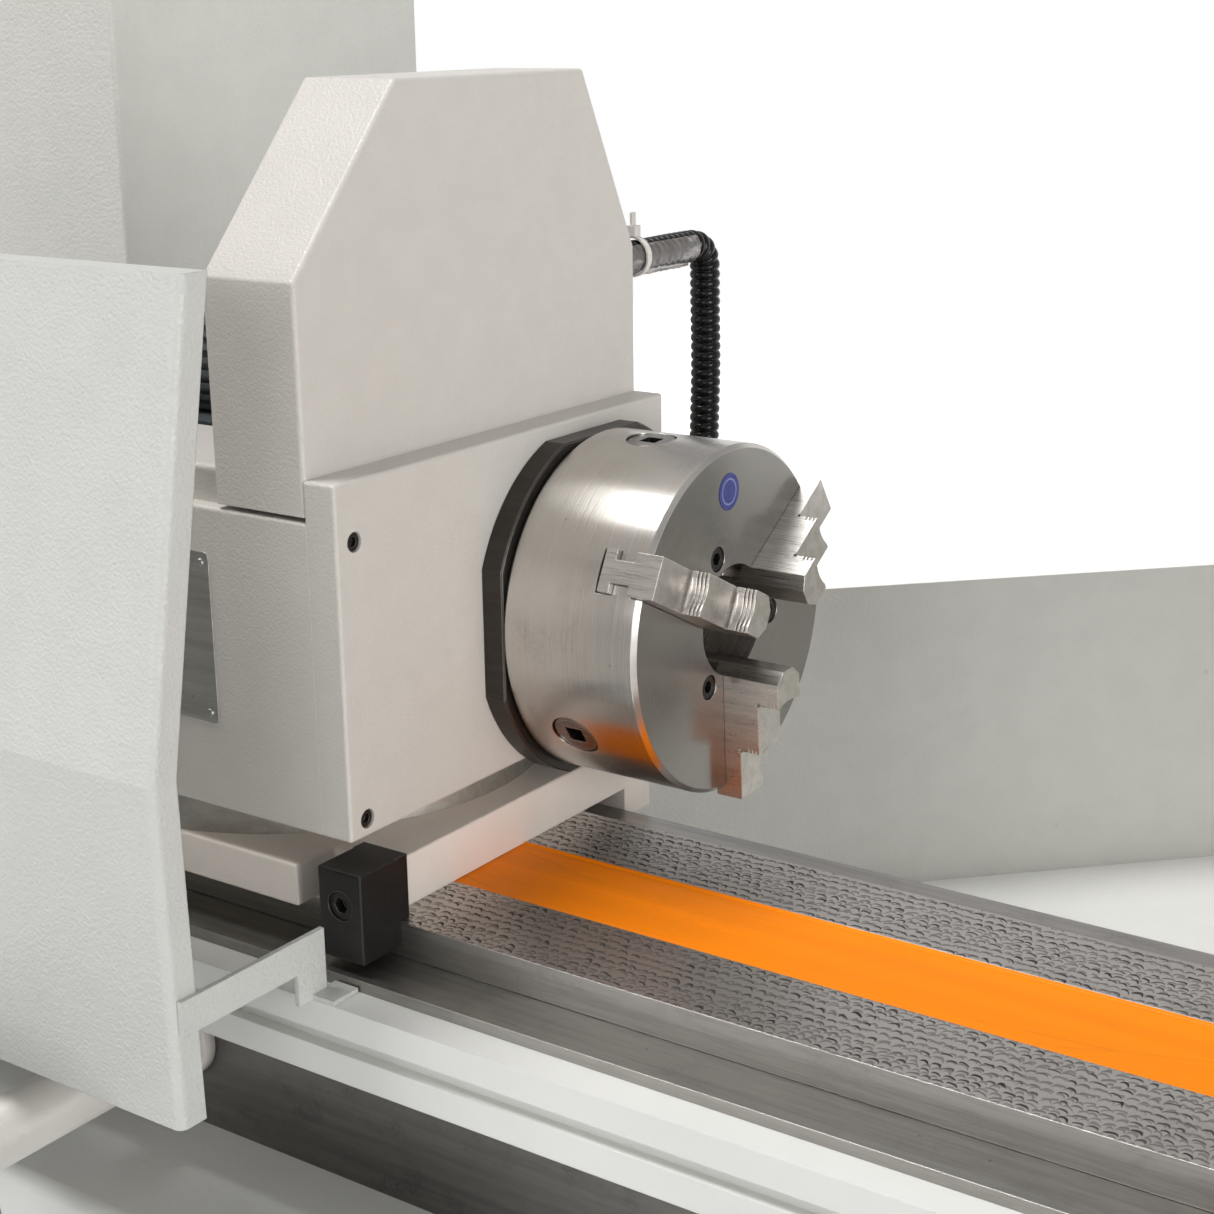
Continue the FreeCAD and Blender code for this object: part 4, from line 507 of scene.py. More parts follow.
@dataclass(frozen=True)
class Enamel(Finish):
    """Baked machine enamel with a pebbled skin.

    Attributes:
        grain: Size of a pebble in metres.
        depth: Height of the pebbles in metres.
        dirt: Share of grey that handling marks lay over the colour.
        edge: Radius of the softened edges in metres.
    """

    grain: float = 0.0017
    depth: float = 0.0004
    dirt: float = 0.05
    edge: float = 0.0009

    def paint(self, graph: Graph, shader: bpy.types.Node) -> None:
        """Lays pebbles, faint marks and softened edges over the colour."""
        place = graph.place()
        skin = graph.group(Effect.PEBBLES, vector=place, size=self.grain)
        edge = graph.group(Effect.EDGE, radius=self.edge)
        dirt = graph.group(Effect.SOILING, vector=place, reach=0.09)
        spots = graph.group(Effect.SPECKS, vector=place, spacing=0.028, share=0.07)
        base = linear(self.colour)
        light = shade(base, 1.015)
        dark = shade(base, 0.985)
        colour = graph.mix(skin.outputs["Tone"], light, dark)
        marked = graph.times(dirt.outputs["Mask"], self.dirt)
        colour = graph.mix(marked, colour, linear([c * 0.72 for c in self.colour]))
        colour = graph.mix(graph.times(spots.outputs["Mask"], 0.3), colour, linear(ENAMEL_SPOT))
        graph.feed(shader, "Base Color", colour)
        rough = graph.spread(skin.outputs["Height"], 0.3, 1.1, self.roughness - 0.06,
                             self.roughness + 0.08)
        graph.feed(shader, "Roughness", rough)
        self.relief(graph, shader, skin.outputs["Height"], self.depth, edge)


@dataclass(frozen=True)
class TurnedSteel(Finish):
    """Lathe-turned steel whose fine rings stretch the light across them.

    Attributes:
        axis: The axis it was turned about.
        centre: A point on that axis, in metres in the frame.
        anisotropy: How far the rings stretch the light.
        ring: Pitch of the rings in metres.
        dirt: Share of the dark handling marks.
        face: Share of the colour left on the end faces, which are darkened as painted shade.
    """

    axis: Axis = Axis.X
    centre: tuple[float, float, float] = (0.0, 0.0, 0.0)
    anisotropy: float = 0.8
    ring: float = 0.0003
    dirt: float = 0.25
    face: float = 1.0

    def paint(self, graph: Graph, shader: bpy.types.Node) -> None:
        """Draws rings about the axis, stretches the light across them and adds oil marks."""
        place = graph.place()
        spoke = graph.vector("SUBTRACT", place, self.centre)
        way = [0.0, 0.0, 0.0]
        way[self.axis.value] = 1.0
        along = graph.vector("DOT_PRODUCT", spoke, tuple(way), "Value")
        flat = graph.vector("MULTIPLY", spoke, tuple(1.0 - w for w in way))
        radius = graph.vector("LENGTH", flat, output="Value")
        tangent = graph.vector("NORMALIZE", graph.vector("CROSS_PRODUCT", tuple(way), flat))
        graph.feed(shader, "Tangent", tangent)
        graph.feed(shader, "Anisotropic", self.anisotropy)
        graph.feed(shader, "Anisotropic Rotation", ACROSS_THE_RINGS)
        graph.feed(shader, "Metallic", 1.0)
        turn = graph.vector("NORMALIZE", flat)
        rings = graph.vector("SCALE", graph.combine(along, radius, 0.0))
        rings.node.inputs["Scale"].default_value = 1 / self.ring
        marks = graph.noise(graph.vector("ADD", rings, turn), 1.0, 3.0, 0.7)
        fans = graph.noise(graph.vector("ADD", graph.vector("MULTIPLY", rings, (0.004,) * 3),
                                        graph.vector("MULTIPLY", turn, (2.4,) * 3)), 1.0, 2.0)
        dirt = graph.group(Effect.SOILING, vector=place, reach=0.035)
        spots = graph.group(Effect.SPECKS, vector=place, spacing=0.009, share=0.05)
        edge = graph.group(Effect.EDGE, radius=0.0008)
        base = linear(self.colour)
        bright = shade(base, 1.04)
        dark = shade(base, 0.93)
        colour = graph.mix(graph.spread(marks, 0.3, 0.7), dark, bright)
        colour = graph.mix(graph.spread(fans, 0.35, 0.68, 0.0, 0.35), colour, dark)
        # Painted shade: faces across the axis are darkened towards black by the face share.
        normal = graph.add("ShaderNodeNewGeometry").outputs["Normal"]
        ends = graph.math("ABSOLUTE", graph.vector("DOT_PRODUCT", normal, tuple(way), "Value"))
        colour = graph.mix(graph.spread(ends, 0.85, 0.95, 0.0, 1.0 - self.face), colour,
                           (0.0, 0.0, 0.0, 1.0))
        stain = graph.times(dirt.outputs["Mask"], self.dirt)
        colour = graph.mix(stain, colour, linear(OIL_STAIN))
        colour = graph.mix(graph.times(spots.outputs["Mask"], 0.5), colour, linear(RUST_SPOT))
        colour = graph.mix(graph.times(edge.outputs["Wear"], 0.18), colour,
                           linear(TURNED_EDGE))
        graph.feed(shader, "Base Color", colour)
        rough = graph.spread(graph.math("ADD", marks, graph.times(stain, 0.6)), 0.3, 1.0,
                             self.roughness - 0.02, self.roughness + 0.08)
        graph.feed(shader, "Roughness", rough)
        self.relief(graph, shader, marks, 0.000003, edge)


@dataclass(frozen=True)
class GroundSteel(Finish):
    """Ground or milled steel with straight grain, worn edges and a few stains.

    Attributes:
        grain_axis: The way that the grain runs.
        pitch: Distance between its lines in metres.
        length: Length of a line in metres.
        dirt: Share of the stains.
        metallic: 1 for bare metal and less under a film of oxide.
        worn: How strongly the edges shine through.
    """

    grain_axis: Axis = Axis.X
    pitch: float = 0.0006
    length: float = 0.02
    dirt: float = 0.4
    metallic: float = 1.0
    worn: float = 0.5

    def paint(self, graph: Graph, shader: bpy.types.Node) -> None:
        """Draws the grain, the stains and the bright edges."""
        place = graph.place()
        x, y, z = graph.split(place)
        order = {Axis.X: (x, y, z), Axis.Y: (y, x, z), Axis.Z: (z, x, y)}[self.grain_axis]
        lines = graph.group(Effect.LINES, vector=graph.combine(*order), pitch=self.pitch,
                            length=self.length)
        dirt = graph.group(Effect.SOILING, vector=place, reach=0.03)
        spots = graph.group(Effect.SPECKS, vector=place, spacing=0.007, share=0.08)
        edge = graph.group(Effect.EDGE, radius=0.0007)
        base = linear(self.colour)
        bright = shade(base, 1.1)
        colour = graph.mix(lines.outputs["Tone"], shade(base, 0.88), bright)
        stain = graph.times(dirt.outputs["Mask"], self.dirt)
        colour = graph.mix(stain, colour, shade(base, 0.5))
        colour = graph.mix(graph.times(spots.outputs["Mask"], 0.45), colour, linear(GREASE_SPOT))
        colour = graph.mix(graph.times(edge.outputs["Wear"], self.worn), colour,
                           linear(GROUND_EDGE))
        graph.feed(shader, "Base Color", colour)
        graph.feed(shader, "Metallic", self.metallic)
        rough = graph.spread(lines.outputs["Height"], 0.3, 0.7, self.roughness - 0.04,
                             self.roughness + 0.05)
        graph.feed(shader, "Roughness", rough)
        self.relief(graph, shader, lines.outputs["Height"], 0.000008, edge)


@dataclass(frozen=True)
class ScrapedSteel(GroundSteel):
    """Steel way whose top is hand scraped in crescents.

    Attributes:
        top: Height of the scraped face, in metres in the frame.
    """

    top: float = 0.0

    def paint(self, graph: Graph, shader: bpy.types.Node) -> None:
        """Lays crescents over the top face and leaves the sides ground."""
        place = graph.place()
        lines = graph.group(Effect.LINES, vector=place, pitch=self.pitch, length=self.length)
        marks = graph.group(Effect.SCRAPING, vector=place, width=0.0068, depth=0.0062)
        under = graph.group(Effect.SCRAPING, vector=graph.vector("ADD", place,
                                                                 (0.0031, 0.0024, 0.0)),
                            width=0.0058, depth=0.0071)
        dirt = graph.group(Effect.SOILING, vector=place, reach=0.05)
        edge = graph.group(Effect.EDGE, radius=0.0007)
        height = graph.split(place)[2]
        facing = graph.split(graph.add("ShaderNodeNewGeometry").outputs["Normal"])[2]
        upper = graph.times(graph.math("GREATER_THAN", facing, 0.5),
                           graph.math("GREATER_THAN", height, self.top - 0.0006))
        base = linear(self.colour)
        ground = graph.mix(lines.outputs["Tone"], shade(base, 0.84), shade(base, 1.08))
        tone = graph.spread(marks.outputs["Tone"], 0.0, 1.0, 0.55, 1.0)
        first = graph.times(marks.outputs["Mask"], tone)
        both = graph.math("MAXIMUM", first, graph.times(under.outputs["Mask"], 0.5))
        scraped = graph.mix(both, linear(SCRAPED_FACE), linear(SCRAPED_MARK))
        colour = graph.mix(upper, ground, scraped)
        stain = graph.times(dirt.outputs["Mask"], self.dirt)
        colour = graph.mix(stain, colour, shade(base, 0.4))
        colour = graph.mix(graph.times(edge.outputs["Wear"], self.worn), colour,
                           linear(SCRAPED_EDGE))
        graph.feed(shader, "Base Color", colour)
        graph.feed(shader, "Metallic", self.metallic)
        masked = graph.times(both, upper)
        rough = graph.math("ADD", graph.times(masked, 0.16), self.roughness)
        graph.feed(shader, "Roughness", rough)
        grain = graph.math("ADD", graph.times(lines.outputs["Height"], 0.4),
                           graph.times(masked, -1.0))
        self.relief(graph, shader, grain, 0.00003, edge)


@dataclass(frozen=True)
class Moulded(Finish):
    """Plastic, rubber or smooth paint with a fine skin and scuffs.

    Attributes:
        grain: Size of the skin's grain in metres.
        depth: Height of the grain in metres.
        coat: Weight of a clear coat.
        scuff: Share of lighter scuffs.
        shine: Specular level, 0.5 for plain plastic.
    """

    grain: float = 0.0008
    depth: float = 0.00004
    coat: float = 0.0
    scuff: float = 0.25
    shine: float = 0.5

    def paint(self, graph: Graph, shader: bpy.types.Node) -> None:
        """Varies the colour, scuffs it and grains the skin."""
        place = graph.place()
        skin = graph.noise(place, 1 / self.grain, 4.0, 0.6)
        broad = graph.noise(place, 22.0, 3.0, 0.55)
        dust = graph.group(Effect.SOILING, vector=place, reach=0.02)
        edge = graph.group(Effect.EDGE, radius=0.0008)
        base = linear(self.colour)
        colour = graph.mix(graph.spread(broad, 0.35, 0.65), shade(base, 0.86), shade(base, 1.12))
        pale = linear([c + (235 - c) * 0.28 for c in self.colour])
        colour = graph.mix(graph.times(dust.outputs["Mask"], self.scuff), colour, pale)
        colour = graph.mix(graph.times(edge.outputs["Wear"], self.scuff), colour, pale)
        graph.feed(shader, "Base Color", colour)
        rough = graph.spread(skin, 0.3, 0.7, self.roughness - 0.08, self.roughness + 0.1)
        graph.feed(shader, "Roughness", rough)
        graph.feed(shader, "Coat Weight", self.coat)
        graph.feed(shader, "Specular IOR Level", self.shine)
        self.relief(graph, shader, skin, self.depth, edge)


@dataclass(frozen=True)
class ClearFilm(Finish):
    """Milky clear tape, greyed by the dark hose under it and pale where it hangs free.

    Attributes:
        free: Height in metres below which nothing lies under the tape.
    """

    free: float = 0.0

    def paint(self, graph: Graph, shader: bpy.types.Node) -> None:
        """Greys the tape over the hose, pales its free edge and wrinkles it."""
        place = graph.place()
        folds = graph.noise(graph.vector("MULTIPLY", place, (1.0, 0.3, 1.0)), 170.0, 3.0, 0.6)
        ribs = graph.noise(graph.vector("MULTIPLY", place, (0.1, 1.0, 0.1)), 420.0, 2.0, 0.5)
        base = linear(self.colour)
        colour = graph.mix(graph.spread(ribs, 0.35, 0.65), shade(base, 0.82), shade(base, 1.15))
        colour = graph.mix(graph.spread(folds, 0.55, 0.75, 0.0, 0.5), colour,
                           linear(TAPE_FOLD))
        low = graph.spread(graph.split(place)[2], self.free, self.free - 0.0008)
        colour = graph.mix(low, colour, linear(TAPE_FREE_EDGE))
        graph.feed(shader, "Base Color", colour)
        graph.feed(shader, "Coat Weight", 0.3)
        self.relief(graph, shader, folds, 0.0006)


@dataclass(frozen=True)
class Grit(Finish):
    """Bonded abrasive: pale grains between dark pores.

    Attributes:
        grain: Size of a grain in metres.
    """

    grain: float = 0.0012

    def paint(self, graph: Graph, shader: bpy.types.Node) -> None:
        """Scatters grains and pores and roughens the face."""
        place = graph.place()
        cells = graph.add("ShaderNodeTexVoronoi", {"Vector": place, "Scale": 1 / self.grain})
        pores = graph.noise(place, 0.7 / self.grain, 3.0, 0.7)
        own = graph.split(cells.outputs["Color"])[0]
        base = linear(self.colour)
        colour = graph.mix(own, shade(base, 0.7), shade(base, 1.25))
        colour = graph.mix(graph.spread(pores, 0.55, 0.75), colour, linear(WHEEL_PORE))
        graph.feed(shader, "Base Color", colour)
        height = graph.math("SUBTRACT", pores, cells.outputs["Distance"])
        self.relief(graph, shader, height, 0.0004)
        graph.feed(shader, "Specular IOR Level", 0.3)


@dataclass(frozen=True)
class BrushPaint(Finish):
    """Brushed-on colour with fine scratches, chips and dark dots.

    Attributes:
        chips: Share of the dark dots.
    """

    chips: float = 0.14

    def paint(self, graph: Graph, shader: bpy.types.Node) -> None:
        """Lays long brush marks, a few scratches and dots over the colour."""
        place = graph.place()
        strokes = graph.group(Effect.LINES, vector=place, pitch=0.0016, length=0.12)
        dots = graph.group(Effect.SPECKS, vector=place, spacing=0.03, share=self.chips)
        dirt = graph.group(Effect.SOILING, vector=place, reach=0.07)
        scratch = graph.add("ShaderNodeTexVoronoi", {
            "Vector": graph.vector("MULTIPLY", place, (9.0, 42.0, 42.0)), "Scale": 1.0},
            feature="DISTANCE_TO_EDGE")
        thin = graph.times(graph.spread(scratch.outputs["Distance"], 0.014, 0.0),
                           graph.spread(graph.noise(place, 18.0), 0.5, 0.62))
        base = linear(self.colour)
        colour = graph.mix(strokes.outputs["Tone"], shade(base, 0.93), shade(base, 1.05))
        colour = graph.mix(graph.times(thin, 0.3), colour, linear([c * 0.55 for c in self.colour]))
        colour = graph.mix(graph.times(dirt.outputs["Mask"], 0.12), colour,
                           linear([c * 0.7 for c in self.colour]))
        colour = graph.mix(graph.times(dots.outputs["Mask"], 0.8), colour, linear(PAINT_CHIP))
        graph.feed(shader, "Base Color", colour)
        rough = graph.spread(strokes.outputs["Height"], 0.3, 0.7, self.roughness - 0.06,
                             self.roughness + 0.08)
        graph.feed(shader, "Roughness", rough)
        graph.feed(shader, "Specular IOR Level", 0.1)
        self.relief(graph, shader, strokes.outputs["Height"], 0.00005)


def make_mesh(name: str, points: np.ndarray, faces: np.ndarray, finish: Finish,
              smooth: bool = True) -> bpy.types.Object:
    """Makes an object of points and faces and gives it a finish.

    Args:
        name: The object's name.
        points: Points in metres in the frame, one a row.
        faces: Corner numbers, one face a row.
        finish: What it is covered with.
        smooth: Whether its faces are shaded as one skin.

    Returns:
        The object, with its place in its mesh.
    """
    mesh = bpy.data.meshes.new(name)
    corners = faces.tolist() if isinstance(faces, np.ndarray) else faces
    mesh.from_pydata(np.asarray(points, float).tolist(), [], corners)
    mesh.polygons.foreach_set("use_smooth", [smooth] * len(mesh.polygons))
    mesh.materials.append(finish.material())
    mesh.update()
    piece = bpy.data.objects.new(name, mesh)
    bpy.context.scene.collection.objects.link(piece)
    return piece


def grid_faces(rows: int, columns: int, close_rows: bool = False,
               close_columns: bool = False) -> np.ndarray:
    """Numbers the quads of a grid: corner (i, j) is i * columns + j.

    Args:
        rows: How many rows of points.
        columns: How many points in a row.
        close_rows: Whether the last row joins the first.
        close_columns: Whether each row's end joins its start.

    Returns:
        An array of four corner numbers a quad.
    """
    i = np.arange(rows if close_rows else rows - 1)[:, None]
    j = np.arange(columns if close_columns else columns - 1)[None, :]
    below, beside = (i + 1) % rows, (j + 1) % columns
    quads = [i * columns + j, i * columns + beside, below * columns + beside, below * columns + j]
    return np.stack([np.broadcast_to(q, (i.size, j.size)) for q in quads], -1).reshape(-1, 4)


def tube_faces(rows: int, columns: int) -> list:
    """Numbers the quads of a tube of rings, and a face over each of its two ends.

    Args:
        rows: How many rings.
        columns: How many points in a ring.

    Returns:
        The faces.
    """
    faces = grid_faces(rows, columns, False, True).tolist()
    faces.append(tuple(range(columns))[::-1])
    faces.append(tuple(range((rows - 1) * columns, rows * columns)))
    return faces


def revolve(profile: np.ndarray, axis: Axis, count: int) -> tuple[np.ndarray, np.ndarray]:
    """Turns a closed profile about an axis through the origin.

    A point (a, r) goes to a along the axis, and r cos t and r sin t across it.

    Args:
        profile: Rows of place along the axis and radius, its ends joined.
        axis: The axis.
        count: Steps round the turn.

    Returns:
        Points, one a row, and faces.
    """
    turn = np.arange(count) * FULL_TURN / count
    along = np.broadcast_to(profile[:, 0], (count, len(profile)))
    out = np.cos(turn)[:, None] * profile[None, :, 1]
    side = np.sin(turn)[:, None] * profile[None, :, 1]
    order = {Axis.X: (along, out, side), Axis.Y: (side, along, out), Axis.Z: (out, side, along)}
    points = np.stack(order[axis], -1).reshape(-1, 3)
    return points, grid_faces(count, len(profile), True, True)


def boxes(centres: np.ndarray, halves: np.ndarray, turns: np.ndarray) -> tuple:
    """Makes many small turned blocks as one mesh.

    Each corner is centre + turn x (half x sign), the signs being all eight of +-1.

    Args:
        centres: Middle of each block.
        halves: Half sizes of each block.
        turns: A 3 x 3 turn matrix for each block.

    Returns:
        Points and faces.
    """
    signs = np.array([(x, y, z) for x in (-1, 1) for y in (-1, 1) for z in (-1, 1)], float)
    corners = halves[:, None, :] * signs[None]
    points = centres[:, None, :] + np.einsum("nij,nkj->nki", turns, corners)
    sides = np.array([(0, 1, 3, 2), (4, 6, 7, 5), (0, 4, 5, 1), (2, 3, 7, 6), (0, 2, 6, 4),
                      (1, 5, 7, 3)])
    faces = sides[None] + 8 * np.arange(len(centres))[:, None, None]
    return points.reshape(-1, 3), faces.reshape(-1, 4)


def prism(outline: np.ndarray, start: float, stop: float, axis: Axis) -> tuple:
    """Carries a closed outline straight along an axis and closes both ends.

    A point (u, v) goes to (u, v) across the axis, in the order YZ for X, ZX for Y and XY for
    Z. An outline that runs clockwise is turned round first, so that its faces point outwards.

    Args:
        outline: Rows of two places across the axis.
        start: Where it starts along the axis.
        stop: Where it stops.
        axis: The axis.

    Returns:
        Points and faces.
    """
    across, rise = outline[:, 0], outline[:, 1]
    area = np.sum(across * np.roll(rise, -1) - np.roll(across, -1) * rise)
    if area < 0:
        across, rise = across[::-1], rise[::-1]
    count = len(across)
    along = np.repeat((start, stop), count)
    across, rise = np.tile(across, 2), np.tile(rise, 2)
    order = {Axis.X: (along, across, rise), Axis.Y: (rise, along, across),
             Axis.Z: (across, rise, along)}
    return np.stack(order[axis], -1), tube_faces(2, count)


def plate(width: float, height: float, thickness: float, corner: float,
          bevel: float = 0.4) -> tuple:
    """Makes a flat plate with round corners, lying on z = 0 and facing +z.

    Round each corner a point stands r from the corner's middle, and r loses the bevel on the
    top ring.

    Args:
        width: Size along x.
        height: Size along y.
        thickness: Size along z.
        corner: Radius of its corners.
        bevel: Size of the bevel round its top.

    Returns:
        Points and faces.
    """
    turn = np.linspace(0, math.pi / 2, 6)[None, :] + np.arange(4)[:, None] * math.pi / 2
    side = np.array(((1, 1), (-1, 1), (-1, -1), (1, -1)), float)
    middle = side * (width / 2 - corner, height / 2 - corner)
    rings = []
    for level, radius in ((0.0, corner), (thickness - bevel, corner), (thickness, corner - bevel)):
        x = (middle[:, 0, None] + radius * np.cos(turn)).ravel()
        y = (middle[:, 1, None] + radius * np.sin(turn)).ravel()
        rings.append(np.stack([x, y, np.full(x.size, level)], -1))
    return np.concatenate(rings), tube_faces(len(rings), len(rings[0]))


def cap_head(radius: float, height: float, socket: float) -> tuple:
    """Makes a cap screw's head with a hexagon socket, lying on z = 0 and facing +z.

    A ring's radius is r, or r over the cosine of the angle from the nearest flat where it
    belongs to the socket.

    Args:
        radius: Radius of the head.
        height: Its height.
        socket: Half of the socket's width over flats.

    Returns:
        Points and faces.
    """
    bevel, floor = radius * 0.14, height * 0.35
    rings = np.array([(0, 0.01, 0), (0, radius, 0), (height - bevel, radius, 0),
                      (height, radius - bevel, 0), (height, socket, 1), (floor, socket, 1),
                      (floor, 0.01, 0)])
    turn = np.arange(24) * FULL_TURN / 24
    sixth = FULL_TURN / 6
    flat = np.cos((turn + sixth / 2) % sixth - sixth / 2)
    r = rings[None, :, 1] * (1 + rings[None, :, 2] * (1 / flat[:, None] - 1))
    z = np.broadcast_to(rings[None, :, 0], r.shape)
    points = np.stack([r * np.cos(turn)[:, None], r * np.sin(turn)[:, None], z], -1)
    return points.reshape(-1, 3), grid_faces(24, len(rings), True, True)[:, ::-1]


def louvre(width: float, height: float, depth: float) -> tuple:
    """Makes one pressed air louvre, hanging from y = 0 on z = 0 and facing +z.

    The point u along it and v down it stands profile(v) times the square root of
    1 - |u|^4 out of the sheet, so that both ends run into it.

    Args:
        width: Its length along x.
        height: Its height.
        depth: How far its lower edge stands out.

    Returns:
        Points and faces.
    """
    profile = np.array([(0, 0), (-0.25, 0.5), (-0.6, 0.88), (-1, 1), (-1, 0.82), (-0.6, 0.7),
                        (-0.3, 0.36), (-0.12, 0)]) * (height, depth)
    u = np.linspace(-1, 1, 15)
    swell = np.maximum(np.sqrt(1 - np.abs(u) ** 4), 0.08)
    shape = (len(u), len(profile))
    x = np.broadcast_to(u[:, None] * width / 2, shape)
    y = np.broadcast_to(profile[None, :, 0], shape)
    z = 0.05 + profile[None, :, 1] * swell[:, None]
    faces = [face[::-1] for face in tube_faces(*shape)]
    return np.stack([x, y, z], -1).reshape(-1, 3), faces


def stood(part: tuple, origin: Sequence[float], out: Sequence[float],
          up: Sequence[float] = (0.0, 0.0, 1.0)) -> tuple:
    """Stands a flat part on a surface.

    A point (x, y, z) goes to origin + x right + y up + z out, with right = up x out.

    Args:
        part: Its points and faces.
        origin: Where its own origin goes.
        out: Which way its z goes.
        up: Which way its y goes.

    Returns:
        The points where they stand, and the same faces.
    """
    frame = np.stack([np.cross(up, out), np.array(up), np.array(out)])
    return part[0] @ frame + np.array(origin, float), part[1]


def drawn(curve: bpy.types.Curve) -> tuple[np.ndarray, list]:
    """Turns a curve into points and faces and removes it.

    Args:
        curve: The curve.

    Returns:
        Its points, one a row, and its faces.
    """
    holder = bpy.data.objects.new(curve.name, curve)
    mesh = bpy.data.meshes.new_from_object(holder)
    flat = np.empty(len(mesh.vertices) * 3)
    mesh.vertices.foreach_get("co", flat)
    faces = [tuple(face.vertices) for face in mesh.polygons]
    bpy.data.objects.remove(holder)
    bpy.data.curves.remove(curve)
    bpy.data.meshes.remove(mesh)
    return flat.reshape(-1, 3), faces


def lettering(text: str, height: float, thickness: float) -> tuple[np.ndarray, list]:
    """Makes a numeral or short word as a thin solid in its own plane.

    Args:
        text: What it says.
        height: Height of its figures in millimetres.
        thickness: How thick it is in millimetres.

    Returns:
        Points with x across, y up and z out of the face, and its faces.
    """
    curve = bpy.data.curves.new("figure", "FONT")
    curve.body = text
    curve.align_x = "CENTER"
    curve.size = height / 0.7
    curve.extrude = thickness / 2
    curve.resolution_u = 2
    return drawn(curve)


def merge(parts: Sequence[tuple]) -> tuple[np.ndarray, list]:
    """Puts several (points, faces) pairs into one.

    Args:
        parts: The pairs.

    Returns:
        All points, and all faces with their numbers moved on.
    """
    points, faces, start = [], [], 0
    for place, corners in parts:
        points.append(np.asarray(place, float))
        faces.extend([tuple(int(c) + start for c in face) for face in corners])
        start += len(place)
    return np.concatenate(points), faces


@dataclass(frozen=True)
class RingedLabel(Finish):
    """Printed round label: a plain colour with a pale ring near its rim.

    Attributes:
        centre: Its middle, Y and Z in metres in the frame.
        radius: Its radius in metres.
        ring: Where the pale ring lies, as a share of the radius.
    """

    centre: tuple[float, float] = (0.0, 0.0)
    radius: float = 0.01
    ring: float = 0.68

    def paint(self, graph: Graph, shader: bpy.types.Node) -> None:
        """Draws the ring by the distance from the middle and rubs the print a little."""
        place = graph.place()
        _, y, z = graph.split(place)
        across = graph.math("SUBTRACT", y, self.centre[0])
        rise = graph.math("SUBTRACT", z, self.centre[1])
        away = graph.vector("LENGTH", graph.combine(across, rise, 0.0), output="Value")
        offset = graph.math("ABSOLUTE", graph.math("SUBTRACT", away, self.radius * self.ring))
        line = graph.spread(offset, self.radius * 0.06, self.radius * 0.03)
        rub = graph.noise(place, 900.0, 3.0, 0.6)
        base = linear(self.colour)
        colour = graph.mix(graph.spread(rub, 0.35, 0.7), base,
                           linear([c + 26 for c in self.colour]))
        colour = graph.mix(graph.times(line, 0.5), colour, linear(LABEL_RING))
        graph.feed(shader, "Base Color", colour)
        self.relief(graph, shader, rub, 0.00001)


